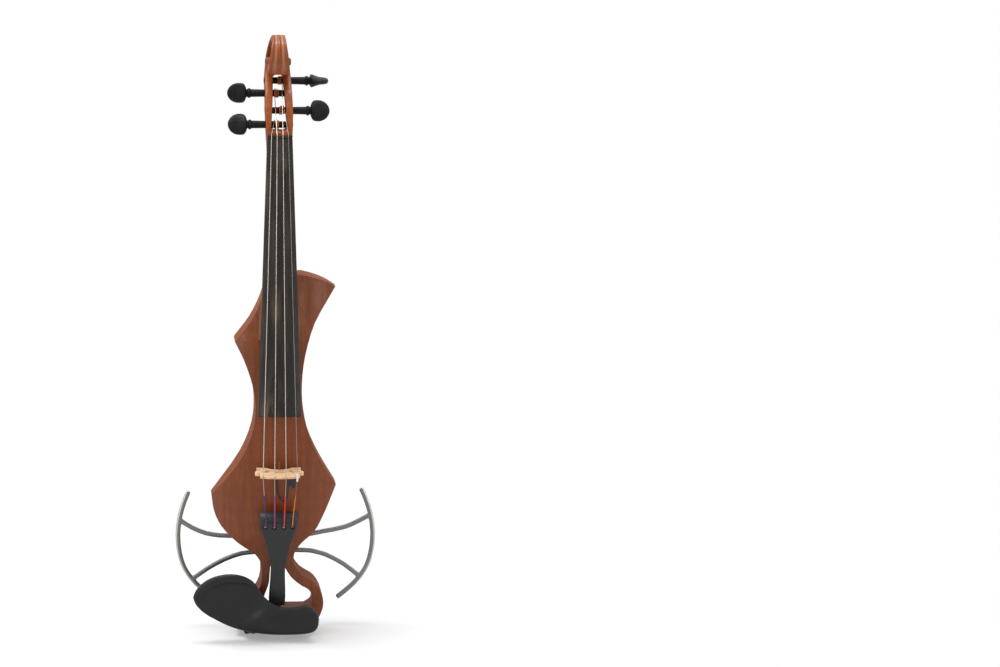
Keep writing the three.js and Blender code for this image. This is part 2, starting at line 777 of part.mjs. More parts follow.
function neckRoot() {
  const [, backShare, narrow, roundness] = neckStationShares[0];
  const top = neckSection(seamZ, -backShare * neckStandoff, narrow, roundness);
  const foot = neckSection(seamZ - rootLong, -backShare * neckStandoff, 1, roundness);
  return loft([foot, top], alongZ);
}

function modulePocket(back, deep) {
  const outline = roundedBox(tubLeft - clearance, tubRight + clearance, tubFoot - clearance,
    tubTop + clearance, bezelRound);
  return plateXZ(outline, back, deep);
}

function bodyHoles(cut) {
  const stem = rodZ(stemRadius + clearance, bodyFoot - overrun, stemLong + overrun + clearance);
  cut.push(stem.translate(0, -buttonDeep, 0));
  for (const side of [-1, 1]) {
    const shank = rodY(screwShank + clearance, -screwDeep - clearance, screwDeep + overrun, 16);
    cut.push(shank.translate(frameScrewMid + side * frameScrewX, 0, frameScrewZ));
  }
  return cut;
}

function makeBody() {
  const outline = bodyOutline([seamEdgeShares]);
  const slab = toSolid(plateXZ(outline, -plateThick, bodyDeep + overrun));
  const arched = slab.intersect(toSolid(archedFront()));
  const block = slab.intersect(toSolid(boardBlock()));
  const whole = arched.add(toSolid(neckRoot())).add(block);
  const cuts = bodyHoles([
    plateXZ(tailOpening(), overrun, bodyDeep + 2 * overrun),
    modulePocket(overrun, tubDeep + overrun + clearance),
  ]);
  const back = box(-bodyHalf, bodyHalf, -plateThick, overrun, 0, seamZ + overrun);
  return toGeometry(whole.subtract(joined([...cuts, back])));
}

function makeBackPlate() {
  const outline = bodyOutline([buttonShares]);
  const cuts = bodyHoles([
    plateXZ(tailOpening(), overrun, 2 * overrun),
    modulePocket(overrun, 2 * overrun),
  ]);
  return toGeometry(toSolid(plateXZ(outline, 0, plateThick)).subtract(joined(cuts)));
}

// Neck and head.

function makeNeckBar() {
  const rings = neckStationShares.map(([up, backShare, narrow, roundness]) => {
    const z = seamZ + up * neckLong;
    return neckSection(z, -backShare * neckStandoff, narrow, roundness);
  });
  return loft(rings, alongZ);
}

function headProfile() {
  const runs = [
    headFrontShares, scrollRingShares, headBackShares, chinShares,
  ].map((shares) => spread(shares, headLong, headLong, [0, headFoot]));
  const foot = [headFoot, nutZ + nutThick + clearance].map(
    (z) => new THREE.Vector2(glueY(z) + clearance, z));
  return joinRuns([foot.slice(0, 1), foot.slice(1), ...runs], 2);
}

function headWidths() {
  const rings = headWidthShares.map(([up, front, back]) => {
    const z = headFoot + up * headLong;
    const side = widthBlendShares.map((share, i) => {
      const blend = THREE.MathUtils.clamp((i - 1) / (widthBlendShares.length - 3), 0, 1);
      const half = headHalf * (front + (back - front) * blend);
      return [half, share * headLong];
    });
    const right = side.map(([x, y]) => new THREE.Vector3(x, y, z));
    const left = side.map(([x, y]) => new THREE.Vector3(-x, y, z)).reverse();
    return [...right, ...left];
  });
  return loft(rings, alongZ);
}

function scrollEye() {
  const radii = [[eyeHalf, eyeRadius - eyeRim], [eyeHalf - eyeRim, eyeRadius]];
  const rods = radii.map(([half, radius]) => rodX(radius, -half, 2 * half, 16));
  const [acrossShare, upShare] = eyeShares;
  return rods.map((rod) => rod.translate(0, acrossShare * headLong, headFoot + upShare * headLong));
}

function pegSlot() {
  const top = headFoot + slotTopShare * headLong;
  const foot = headFoot + slotFootShare * headLong;
  const outline = [
    [slotFootHalf - slotFootHalf / 3, foot], [slotFootHalf, foot + slotFootHalf / 3],
    [slotTopHalf, top - slotTopHalf / 3], [slotTopHalf - slotTopHalf / 3, top],
  ].map(([x, z]) => new THREE.Vector2(x, z));
  return plateXZ([...outline, ...mirrored(outline)], headLong / 2, headLong);
}

const pegPlace = ({ shares }) => [shares[0] * headLong, headFoot + shares[1] * headLong];
const pegRadiusAt = (x) => pegEndRadius + pegTaper * (x + headHalf + pegPast);

function pegBore(peg) {
  const [y, z] = pegPlace(peg);
  const reach = headHalf + overrun;
  const bore = rodX(pegRadiusAt(-reach) + clearance, -reach, 2 * reach, 12, pegRadiusAt(reach) + clearance);
  if (peg.side < 0) bore.rotateZ(halfTurn);
  return bore.translate(0, y, z);
}

function makeNeck() {
  const hole = curveThrough(spread(scrollHoleShares, headLong, headLong, [0, headFoot]), 1, true);
  const side = toSolid(plateYZ(headProfile(), -headHalf - overrun, 2 * (headHalf + overrun), [hole]));
  const head = side.intersect(toSolid(headWidths()).add(joined(scrollEye())));
  const cuts = [pegSlot(), ...Object.values(pegTable).map(pegBore)];
  return toGeometry(toSolid(makeNeckBar()).add(head).subtract(joined(cuts)));
}

// Fingerboard and nut, in the frame of the glue plane.

// A section of the board: flat or scooped below, a round crown above.
function boardSection(half, edge, scoop, down, steps = 10) {
  const below = Array.from({ length: 5 }, (_, i) => {
    const share = i / 2 - 1;
    return new THREE.Vector3(half * share, -clearance - scoop * (1 - share ** 2), -down);
  });
  const above = Array.from({ length: steps + 1 }, (_, i) => {
    const x = half * (1 - (2 * i) / steps);
    const rise = crownDrop(half, crownRadius) - crownDrop(x, crownRadius);
    return new THREE.Vector3(x, -clearance - edge - rise, -down);
  });
  return [...below, ...above];
}

function makeFingerboard() {
  const overBlock = neckLong + blockLong;
  const rows = [
    [0, 0], [neckLong, 0], [overBlock, 0], [overBlock + overrun, boardScoop],
    [boardLong, boardScoop],
  ];
  return loft(rows.map(([down, scoop]) => boardSection(boardHalfAt(down), boardEdge, scoop, down)), alongZ);
}

function makeNut() {
  const rows = [clearance, nutThick].map((up) => {
    return boardSection(boardNutHalf, boardEdge + nutProud, 0, -up);
  });
  return loft(rows, alongZ);
}

// Pegs, their windings and the strings.

function pegStem() {
  const end = -headHalf - pegPast;
  const collarEnd = collarAt + collarLong;
  const stemRadiusAtThumb = thumbThickHalf * thumbShares[0][2];
  const profile = [
    [0, end], [pegEndRadius * 0.8, end], [pegRadiusAt(end), end + pegPast],
    [pegRadiusAt(collarAt), collarAt], [collarRadius * 0.92, collarAt],
    [collarRadius, collarAt + collarLong / 2], [collarRadius * 0.92, collarEnd],
    [pegRadiusAt(collarAt), collarEnd], [stemRadiusAtThumb, thumbAt],
    [stemRadiusAtThumb, thumbAt + thumbLong * 0.1], [0, thumbAt + thumbLong * 0.2],
  ].map(([radius, x]) => new THREE.Vector2(radius, x));
  return new THREE.LatheGeometry(profile, 14).rotateZ(-quarterTurn);
}

// The thumb of a peg: flat ovals with a crisp ridge along the middle of each side.
function pegThumb() {
  const rings = thumbShares.map(([along, wide, thick]) => circle(1, 14).map(({ x, y }) => {
    const crisp = 1 - thumbCrispShare * (2 * Math.abs(x * y)) ** 2;
    const [outWide, outThick] = [x * thumbHalf * wide * crisp, y * thumbThickHalf * thick * crisp];
    return new THREE.Vector3(thumbAt + along * thumbLong, outThick, outWide);
  }));
  return loft(rings, alongX);
}

function makePeg(peg) {
  const whole = joined([pegStem(), pegThumb().rotateX((peg.turn * halfTurn) / 180)]);
  const facing = toGeometry(whole);
  if (peg.side < 0) facing.rotateZ(halfTurn);
  const { turn } = stringTouch(peg, windSweep(peg) + clearance);
  const holeRadius = windRadius + pegHoleSpare;
  const hole = new THREE.CylinderGeometry(holeRadius, holeRadius, 4 * collarRadius, 8);
  hole.rotateX(windHoleTurn(turn)).translate(windX(peg, 1), 0, 0);
  return toGeometry(toSolid(facing).subtract(toSolid(hole)));
}

// The direction, seen from the treble side, in which the string leaves the peg.
function stringTouch(peg, reach) {
  const [y, z] = pegPlace(peg);
  const { y: fromY, z: fromZ } = overNut(0, clearance, nutThick);
  const away = Math.atan2(fromZ - z, fromY - y);
  const far = Math.hypot(fromZ - z, fromY - y);
  const turn = away - Math.acos(reach / far);
  return { turn, y: y + reach * Math.cos(turn), z: z + reach * Math.sin(turn) };
}

// A place over the nut, lifted off its crown, in the frame of the whole instrument.
function overNut(x, lift, up) {
  const rise = crownDrop(boardNutHalf, crownRadius) - crownDrop(Math.abs(x), crownRadius);
  const place = new THREE.Vector3(x, -clearance - boardEdge - nutProud - rise - lift, up);
  place.applyAxisAngle(new THREE.Vector3(1, 0, 0), -boardTilt);
  return place.add(new THREE.Vector3(0, -glueBack, nutZ));
}

const windX = (peg, share) => peg.side * (peg.windAt - share * windLoops * windPitch);
const windReach = (peg) => pegRadiusAt(peg.side * windX(peg, 0)) + clearance + windRadius;
const windSweep = (peg) => Math.hypot(windReach(peg) + windRadius, 2 * windRadius);

const windHoleTurn = (turn) => turn - 0.3;

// The silk's path round its peg, from its free end to the hole that it goes into.
function windingPath(peg) {
  const [y, z] = pegPlace(peg);
  const { turn } = stringTouch(peg, windSweep(peg) + clearance);
  const reach = windReach(peg);
  const at = (angle, radius, x) => new THREE.Vector3(
    x, y + radius * Math.cos(angle), z + radius * Math.sin(angle));
  const points = [];
  const tail = at(turn, reach, windX(peg, 0));
  const heading = new THREE.Vector3(0, -Math.sin(turn), Math.cos(turn));
  points.push(tail.clone().addScaledVector(heading, 2 * windRadius));
  const steps = windSteps * windLoops;
  for (let step = 0; step <= steps; step += 1) {
    points.push(at(turn - (2 * halfTurn * step) / windSteps, reach, windX(peg, step / steps)));
  }
  const holeTurn = windHoleTurn(turn);
  const inner = windX(peg, 1);
  points.push(at(holeTurn + 0.1, reach - windRadius * 0.2, inner));
  points.push(at(holeTurn, reach - windRadius * 1.3, inner));
  points.push(at(holeTurn, reach - windRadius * 3.6, inner));
  return points;
}

function leastGap(points, diameter) {
  let least = Infinity;
  let travelled = 0;
  const along = points.map((point, i) => {
    travelled += i ? point.distanceTo(points[i - 1]) : 0;
    return travelled;
  });
  for (let i = 0; i < points.length; i += 1) {
    for (let j = i + 1; j < points.length; j += 1) {
      if (along[j] - along[i] > diameter * 6) least = Math.min(least, points[i].distanceTo(points[j]));
    }
  }
  return least - diameter;
}

function bridgeTopY(x) {
  return -bodyDeep - bridgeTall + crownDrop(x, bridgeCrown);
}

function tailFrontY(x, z) {
  const up = (z - tailFoot) / tailLong;
  return -ridgeDeep * blendTable(tailpieceShares, up, 2) + crownDrop(x, tailCrown);
}

const sleeveLift = (name) => (name === "e" ? sleeveRadius : stringTable[name].radius);

// A string from its peg over the nut, the bridge and the tailpiece's ridge to its keyhole.
function stringPath(name) {
  const string = stringTable[name];
  const peg = pegTable[name];
  const lift = clearance + string.radius;
  const touch = stringTouch(peg, windSweep(peg) + lift);
  const slope = new THREE.Vector3(0, Math.sin(touch.turn), -Math.cos(touch.turn));
  const start = new THREE.Vector3(windX(peg, 0), touch.y, touch.z);
  const ridgeZ = tailFoot + tailLong * ridgeShare;
  const ridgeY = tailFrontY(string.keyX, ridgeZ) - lift;
  const keyY = tailFrontY(string.keyX, keyZ);
  const topY = bridgeTopY(string.bridgeX) - clearance - sleeveLift(name);
  return [
    start.addScaledVector(slope, windRadius),
    overNut(string.nutX, lift, nutThick),
    overNut(string.nutX, lift, clearance),
    new THREE.Vector3(string.bridgeX, topY, bridgeFaceZ(-topY)),
    new THREE.Vector3(string.bridgeX, topY, bridgeBackZ(-topY)),
    new THREE.Vector3(string.keyX, ridgeY, ridgeZ + ballRadius),
    new THREE.Vector3(string.keyX, ridgeY, ridgeZ - string.radius),
    new THREE.Vector3(string.keyX, keyY - lift, keyZ + ballRadius),
    new THREE.Vector3(string.keyX, keyY + ballRadius, keyZ),
  ];
}

function makeString(name) {
  const path = stringPath(name);
  const end = path.at(-1);
  const ball = rodX(ballRadius, -ballHalf, 2 * ballHalf, 8);
  ball.translate(end.x, end.y + ballRadius, end.z);
  return toGeometry(joined([wire(path, stringTable[name].radius, stringSides), ball]));
}

// A soft tube that the thinnest string wears where it crosses the bridge.
function makeSleeve() {
  const [above, top, foot, below] = stringPath("e").slice(2, 6);
  const reach = (from, to) => to.clone().addScaledVector(
    new THREE.Vector3().subVectors(from, to).normalize(), sleeveLong / 2);
  const outer = [reach(above, top), top, foot, reach(below, foot)];
  const past = (from, to) => to.clone().addScaledVector(
    new THREE.Vector3().subVectors(from, to).normalize(), sleeveLong);
  const inner = [past(above, top), top, foot, past(below, foot)];
  const bore = wire(inner, stringTable.e.radius + clearance, stringSides);
  return toGeometry(toSolid(wire(outer, sleeveRadius, stringSides)).subtract(toSolid(bore)));
}

// Bridge and pickup.

function bridgeOutline() {
  const place = (shares) => spread(shares, bridgeTall, -bridgeTall, [0, -bodyDeep]);
  const under = (share) => {
    const x = share * bridgeTall;
    return new THREE.Vector2(x, -frontDeep(x, bridgeFoot) - clearance);
  };
  const [inner, outer] = [under(footInnerShare), under(footOuterShare)];
  const side = curveThrough(place(bridgeSideShares), 2);
  const topHalf = side.at(-1).x;
  const crown = [0.75, 0.5, 0.25, 0].map((share) => {
    return new THREE.Vector2(topHalf * share, bridgeTopY(topHalf * share));
  });
  const right = [inner, outer, ...side, ...crown];
  const arch = curveThrough([inner, ...place(bridgeArchShares)], 2).slice(1);
  const archLeft = mirrored(arch).reverse();
  return [...right, ...mirrored(right).slice(1), ...archLeft.slice(0, -1), ...[...arch].reverse()];
}

function makeBridge() {
  const place = (shares) => spread(shares, bridgeTall, -bridgeTall, [0, -bodyDeep]);
  const heartRight = curveThrough(place(heartShares), 2);
  const heart = [...heartRight, ...mirrored(heartRight).slice(0, -1)];
  const kidney = curveThrough(place(kidneyShares), 2, true);
  const holes = [heart, kidney, mirrored(kidney)];
  const plate = plateXY(bridgeOutline(), bridgeFoot - overrun, bridgeThick + 2 * overrun, holes);
  const [low, high] = [bodyDeep - overrun, bodyDeep + bridgeTall + overrun];
  const wedge = [
    [low, bridgeBackZ(low)], [high, bridgeBackZ(high)], [high, bridgeFaceZ(high)],
    [low, bridgeFaceZ(low)],
  ].map(([deep, z]) => new THREE.Vector2(-deep, z));
  return toGeometry(toSolid(plate).intersect(toSolid(plateYZ(wedge, -bridgeTall, 2 * bridgeTall))));
}

// The bridge leans: its tail side and its neck side, at a depth before the back plane.
const bridgeShareAt = (deep) => (deep - bodyDeep) / bridgeTall;
const bridgeBackZ = (deep) => bridgeFoot + bridgeLean * bridgeShareAt(deep);

function bridgeFaceZ(deep) {
  const thick = bridgeThick + (bridgeTopThick - bridgeThick) * bridgeShareAt(deep);
  return bridgeBackZ(deep) + thick;
}

function makeLead() {
  const places = leadShares.map(([across, deep, down]) => new THREE.Vector3(
    across * leadDrop, -bodyDeep - deep * leadDrop, bridgeFoot - down * leadDrop));
  for (const end of [places[0], places.at(-1)]) end.z = bridgeBackZ(-end.y) - clearance;
  const path = new THREE.CatmullRomCurve3(places, false, "centripetal");
  return wire(path.getSpacedPoints(leadSteps), leadRadius, leadSides);
}

function makeFlag() {
  const top = bridgeFoot - clearance;
  const outline = [
    [-flagWide / 2, top], [-flagNarrow / 2, top - flagLong], [flagNarrow / 2, top - flagLong],
    [flagWide / 2, top],
  ].map(([x, z]) => new THREE.Vector2(flagX + x, z));
  return plateXZ(outline, -flagDeep + flagThick, flagThick);
}

// Tailpiece and tail.

function makeTailpiece() {
  const rings = tailpieceShares.map(([up, wide, front, back]) => {
    const z = tailFoot + up * tailLong;
    const half = wide * tailHalf;
    const aside = -tailAside * (1 - up);
    const face = Array.from({ length: tailFaceSteps + 1 }, (_, i) => {
      const x = half * (1 - (2 * i) / tailFaceSteps);
      return new THREE.Vector3(x + aside, -front * ridgeDeep + crownDrop(x, tailCrown), z);
    });
    const rear = [-1, 0, 1].map((share) => {
      const x = half * share * tailRearShare;
      return new THREE.Vector3(x + aside, -back * ridgeDeep, z);
    });
    return [...face, ...rear];
  });
  const keys = Object.values(stringTable).flatMap(({ keyX }) => {
    const hole = rodY(keyRadius, -ridgeDeep - overrun, 2 * tailHalf, 10);
    const slot = box(keyX - keySlotHalf, keyX + keySlotHalf, -ridgeDeep - overrun,
      -ridgeDeep + overrun, keyZ, keySlotTop);
    return [hole.translate(keyX, 0, keyZ), slot];
  });
  return toGeometry(toSolid(loft(rings, alongZ)).subtract(joined(keys)));
}

// One leg of the tail gut, from the tailpiece down to the body's lower edge.
function gutLeg(side) {
  const over = saddleDeep + clearance + gutRadius;
  const edgeY = -frontDeep(0, bodyFoot);
  const bend = (clearance + gutRadius) * gutEaseShare;
  const [x, topX] = [side * gutSpread, side * gutSpread - tailAside];
  const places = [
    [topX, -tailGutDeep(), tailFoot - clearance],
    [topX, -tailGutDeep(), tailFoot - clearance - gutRadius],
    [x, -over, saddleFoot + saddleLong], [x, -over, saddleFoot + gutRadius],
    [x, edgeY - bend, saddleFoot - saddleLong],
    ...[0, 1 / 3, 2 / 3, 1].map((share) => {
      const turn = quarterTurn * share;
      return [x, edgeY - bend * Math.cos(turn), bodyFoot - bend * Math.sin(turn)];
    }),
  ];
  return places.map((place) => new THREE.Vector3(...place));
}

// The gut runs from the tailpiece over the saddle, under the body and round the button.
function makeGut() {
  const underZ = bodyFoot - (clearance + gutRadius) * gutEaseShare;
  const around = stemRadius + clearance + gutRadius;
  const loop = Array.from({ length: gutLoopSteps + 1 }, (_, i) => {
    const turn = -gutLoopPast + (i * (halfTurn + 2 * gutLoopPast)) / gutLoopSteps;
    return new THREE.Vector3(around * Math.cos(turn), -buttonDeep + around * Math.sin(turn), underZ);
  });
  return wire([...gutLeg(1), ...loop, ...gutLeg(-1).reverse()], gutRadius, gutSides);
}

const tailGutDeep = () => ridgeDeep * (tailpieceShares[0][2] + tailpieceShares[0][3]) / 2;

function makeSaddle() {
  const z = saddleFoot;
  const base = frontDeep(0, z) + clearance;
  const outline = [
    [-base, z], [-saddleDeep, z + saddleLong * 0.2], [-saddleDeep, z + saddleLong * 0.85],
    [-saddleDeep + saddleLong * 0.15, z + saddleLong], [-base, z + saddleLong],
  ].map(([y, up]) => new THREE.Vector2(y, up));
  return plateYZ(outline, -saddleHalf, 2 * saddleHalf);
}

function makeEndButton() {
  const profile = [
    [0, 0], [capRadius * 0.9, 0], [capRadius, capLong * 0.2], [capRadius, capLong * 0.75],
    [capRadius * 0.92, capLong], [stemRadius, capLong], [stemRadius, bodyFoot + stemLong],
    [0, bodyFoot + stemLong],
  ].map(([radius, z]) => new THREE.Vector2(radius, z));
  return new THREE.LatheGeometry(profile, 16).rotateX(quarterTurn);
}

// Chinrest and its clamps.

function insetBy(outline, inset) {
  return outline.map((point, i) => {
    const before = outline.at(i - 1);
    const after = outline[(i + 1) % outline.length];
    const along = new THREE.Vector2().subVectors(after, before).normalize();
    return new THREE.Vector2(point.x - along.y * inset, point.y + along.x * inset);
  });
}

function cupBody() {
  const outline = curveThrough(spread(cupShares, cupSpan, cupSpan, [cupX, cupFoot]), 2, true);
  const rings = cupLevelShares.map((level, i) => {
    const y = -cupFront + level * (cupFront - cupBack);
    return insetBy(turned(outline, 1), cupInsets[i]).map((place) => new THREE.Vector3(place.x, y, place.y));
  });
  return loft(rings, alongY);
}

function hollow([x, z], [wide, deep, tall]) {
  return new THREE.SphereGeometry(1, 20, 12).scale(wide, deep, tall).translate(x, -cupFront, z);
}

// The cup, tipped forwards the further it is across and up from its own foot.
function tipped(geometry) {
  const places = geometry.attributes.position;
  for (let i = 0; i < places.count; i += 1) {
    const across = (places.getX(i) - cupX) * cupTipAcrossShare;
    const up = (places.getZ(i) - cupFoot) * cupTipUpShare;
    places.setY(i, places.getY(i) - across - up);
  }
  return geometry;
}

function makeChinrest() {
  const base = plateXZ(roundedBox(-baseHalf, baseHalf, baseFoot, baseTop, clampCork * 2), -baseBack,
    cupBack - baseBack + baseSink);
  const dishes = joined([hollow(dishCentre, dishHalf), hollow(dipCentre, dipHalf)]);
  const cup = tipped(toGeometry(toSolid(cupBody()).subtract(dishes)));
  const reliefBack = tailFrontY(0, cupFoot + cupSpan / 2) - 3 * clearance;
  const relief = box(-tailHalf / 2 - clearance, tailHalf / 2 + clearance, reliefBack, 0,
    tailFoot - 2 * clearance, cupFoot + 2 * cupSpan);
  const pass = box(-gutPassHalf, gutPassHalf, -gutPassFront, 0, 0, baseTop + overrun);
  return toGeometry(joined([cup, base]).subtract(joined([relief, pass])));
}

function makeCork(side) {
  return box(side * clampX - corkHalf, side * clampX + corkHalf, -baseBack + clearance,
    -baseBack + clearance + corkThick, corkFoot, corkTop);
}

function makeClamp(side) {
  const [backIn, backOut] = [clampCork + clearance, clampCork + clearance + clampThick];
  const outline = [
    [backIn, clampTop], [backIn, clampFoot + clampThick],
    [-clampFront + 2 * clampThick, clampFoot + clampThick],
    [-clampFront + 2 * clampThick, baseFoot - clearance], [-clampFront, baseFoot - clearance],
    [-clampFront, clampFoot], [backOut - clampThick / 2, clampFoot],
    [backOut, clampFoot + clampThick / 2], [backOut, clampTop],
  ].map(([y, z]) => new THREE.Vector2(y, z));
  const barrel = rodY(barrelRadius, backOut - barrelLong, barrelLong, 20);
  const bore = rodY(screwRadius + clearance, -cupFront, cupFront + overrun, 16);
  const half = clampWide / 2;
  const taper = [
    [clampFootHalf, clampFoot], [half, clampTop - clampShoulder], [half, clampTop],
  ].map(([x, z]) => new THREE.Vector2(x, z));
  const foot = plateXZ([...taper, ...mirrored(taper)], backOut + overrun, clampFront + 2 * overrun);
  const plate = toSolid(plateYZ(outline, -half, clampWide)).intersect(toSolid(foot));
  const whole = plate.add(toSolid(barrel.translate(0, 0, barrelZ)));
  const clamp = whole.subtract(toSolid(bore.translate(0, 0, barrelZ)));
  return toGeometry(clamp.translate([side * clampX, 0, 0]));
}

function makeClampCork(side) {
  return box(side * clampX - clampWide / 2, side * clampX + clampWide / 2, 0, clampCork,
    bodyFoot + clampCork, clampTop);
}

function makeClampScrew() {
  const long = clampFront - clampThick;
  const rod = rodY(screwRadius, -long, long + clampCork + clampThick, 20);
  const socket = box(-screwSocket / 2, screwSocket / 2, clampThick - clampCork, overrun,
    -screwRadius * 2, screwRadius * 2);
  return toGeometry(toSolid(rod).subtract(toSolid(socket)));
}

// Shoulder frame.

// A strip beside a curve: its given edge, and the same edge moved sideways by its width.
function strip(shares, wide) {
  const edge = curveThrough(spread(shares, frameHalf, frameHalf, [0, frameFoot]), 2);
  const other = edge.map((point, i) => {
    const before = edge[Math.max(i - 1, 0)];
    const after = edge[Math.min(i + 1, edge.length - 1)];
    const along = new THREE.Vector2().subVectors(after, before).normalize();
    return new THREE.Vector2(point.x + along.y * wide, point.y - along.x * wide);
  });
  return [...edge, ...other.reverse()];
}

function wingPlates({ rimShares, upperShares, lowerShares }) {
  return [
    strip(rimShares, rimWide), strip(upperShares, spokeWide), strip(lowerShares, spokeWide),
  ];
}

function makeShoulderFrame() {
  const yokeHalves = [trebleWing, bassWing].map(({ yokeShares }) => {
    return curveThrough(spread(yokeShares, frameHalf, frameHalf, [0, frameFoot]), 3);
  });
  const yoke = [...yokeHalves[0], ...mirrored(yokeHalves[1]).slice(1)];
  const outlines = [...wingPlates(trebleWing), ...wingPlates(bassWing).map(mirrored), yoke];
  const plates = outlines.map((outline) => plateXZ(outline, frameThick, frameThick));
  const holes = [-1, 1].map((side) => {
    const hole = rodY(screwShank + clearance, -overrun, frameThick + 2 * overrun, 16);
    return hole.translate(frameScrewMid + side * frameScrewX, 0, frameScrewZ);
  });
  return toGeometry(joined(plates).subtract(joined(holes)));
}

function makeFrameScrew() {
  const headFootY = frameThick + clearance;
  const profile = [
    [0, -screwDeep], [screwShank, -screwDeep], [screwShank, headFootY],
    [screwHeadRadius, headFootY], [screwHeadRadius * 0.96, headFootY + screwHeadProud * 0.5],
    [screwHeadRadius * 0.6, headFootY + screwHeadProud], [0, headFootY + screwHeadProud],
  ].map(([radius, y]) => new THREE.Vector2(radius, y));
  const screw = toSolid(new THREE.LatheGeometry(profile, 16));
  const drive = [[driveWide, 2 * screwHeadRadius * 0.55], [2 * screwHeadRadius * 0.55, driveWide]];
  const cuts = drive.map(([wide, tall]) => box(-wide / 2, wide / 2,
    headFootY + screwHeadProud * 0.4, headFootY + overrun, -tall / 2, tall / 2));
  return toGeometry(screw.subtract(joined(cuts)));
}

// Control module.

const faceTop = bezelThick + faceProud;
const cavityWall = clearance * 5;

function holesInFace() {
  const through = (radius, [x, z]) => rodY(radius, 0, faceTop + overrun, 20).translate(x, 0, z);
  const switchZ = switchAt[1];
  return [
    through(socketRadius * 0.8 + clearance, socketAt),
    ...Object.values(knobTable).map((place) => through(knobStem + clearance, place)),
    box(switchX - switchBoxWide / 2 - clearance, switchX + switchBoxWide / 2 + clearance, 0,
      faceTop + overrun, switchZ - switchBoxTall / 2 - clearance,
      switchZ + switchBoxTall / 2 + clearance),
  ];
}

function makeControlHousing() {
  const tub = plateXZ(roundedBox(tubLeft, tubRight, tubFoot, tubTop, bezelRound), 0, tubDeep);
  const bezel = plateXZ(roundedBox(bezelLeft, bezelRight, bezelFoot, bezelTop, bezelRound),
    bezelThick, bezelThick);
  const face = plateXZ(roundedBox(tubLeft, tubRight, jackTop + clearance, tubTop, bezelRound / 2),
    faceTop, faceProud);
  const doorBack = faceTop - doorThick;
  const bay = box(batteryLeft - 2 * clearance, batteryLeft + batteryWide + 2 * clearance,
    doorBack - batteryThick - 3 * clearance, faceTop, batteryFoot - 2 * clearance,
    batteryFoot + batteryLong + 2 * clearance);
  const recess = box(doorLeft - clearance, doorRight + clearance, doorBack - clearance,
    faceTop + overrun, doorFoot - clearance, doorTop + clearance);
  const wide = [tubLeft + tubWall, cavityRight, tubFoot + tubWall, tubTop - tubWall];
  const upper = box(wide[0], wide[1], -boardTop - boardThick - clearance, bezelThick - cavityWall,
    wide[2], wide[3]);
  const lower = box(wide[0] + ledge, wide[1] - ledge, -tubDeep + tubWall, 0, wide[2] + ledge,
    wide[3] - ledge);
  const cuts = [bay, recess, upper, lower, ...holesInFace()];
  return toGeometry(joined([tub, bezel, face]).subtract(joined(cuts)));
}

function makeBattery() {
  const shell = plateXZ(roundedBox(batteryLeft, batteryLeft + batteryWide, batteryFoot,
    batteryFoot + batteryLong - 2 * clearance - terminalLong, doorThick),
    faceTop - doorThick - clearance, batteryThick);
  const middle = faceTop - doorThick - clearance - batteryThick / 2;
  const top = batteryFoot + batteryLong - 2 * clearance - terminalLong;
  const studs = [-1, 1].map((side) => rodZ(terminalRadius, top - clearance, terminalLong + clearance,
    12).translate(batteryLeft + batteryWide / 2 + (side * batteryWide) / 4, middle, 0));
  return toGeometry(joined([shell, ...studs]));
}

function makeDoor() {
  const half = doorThick / 2;
  const hinge = doorFoot + half;
  const plate = box(doorLeft, doorRight, -half, half, 0, doorTop - hinge);
  const knuckle = rodX(half, doorLeft, doorRight - doorLeft, 16);
  const catchNotch = rodX(half, -fingerWide / 2, fingerWide, 16);
  const middle = (doorLeft + doorRight) / 2;
  const notch = catchNotch.translate(middle, half, doorTop - hinge - 2 * half);
  return toGeometry(joined([plate, knuckle]).subtract(toSolid(notch)));
}

function makeSwitchFrame() {
  const [x, z] = [switchWide / 2, switchTall / 2];
  const plate = plateXZ(roundedBox(-x, x, -z, z, switchRound), switchRim, switchRim);
  const inner = box(-switchBoxWide / 2, switchBoxWide / 2, -faceTop - boardTop + clearance, clearance,
    -switchBoxTall / 2, switchBoxTall / 2);
  const slot = box(-sliderWide / 2 - sliderTravel - clearance, sliderWide / 2 + sliderTravel + clearance,
    -sliderDeep - clearance, overrun, -sliderTall / 2 - clearance, sliderTall / 2 + clearance);
  return toGeometry(joined([plate, inner]).subtract(toSolid(slot)));
}

function makeSlider() {
  const foot = box(-sliderWide / 2, sliderWide / 2, -sliderDeep, sliderProud / 2, -sliderTall / 2,
    sliderTall / 2);
  const ribs = [-1, 0, 1].map((at) => box((at * sliderWide) / 3 - sliderWide / 12,
    (at * sliderWide) / 3 + sliderWide / 12, 0, sliderProud, -sliderTall / 2, sliderTall / 2));
  return toGeometry(joined([foot, ...ribs]));
}

function makeSocket() {
  const rim = socketRadius;
  const seat = -faceTop - boardTop + clearance;
  const profile = [
    [0, seat], [rim * 0.8, seat], [rim * 0.8, clearance], [rim, clearance],
    [rim, switchRim], [rim * 0.85, switchRim * 1.5], [socketBore, switchRim * 1.5],
    [socketBore, -socketDeep], [0, -socketDeep],
  ].map(([radius, y]) => new THREE.Vector2(radius, y));
  return new THREE.LatheGeometry(profile, 18);
}

function makeKnob() {
  const top = knobTop - faceTop;
  const profile = [
    [0, -faceTop - boardTop + potDeep + 2 * clearance],
    [knobStem, -faceTop - boardTop + potDeep + 2 * clearance],
    [knobStem, clearance], [knobRadius, clearance], [knobRadius * 0.94, top * 0.9],
    [knobRadius * 0.82, top], [0, top],
  ].map(([radius, y]) => new THREE.Vector2(radius, y));
  const knob = toSolid(new THREE.LatheGeometry(profile, 16));
  const pointer = box(-driveWide / 4, driveWide / 4, top - driveWide / 2, top + overrun, 0,
    knobRadius * 2);
  return toGeometry(knob.subtract(toSolid(pointer)));
}

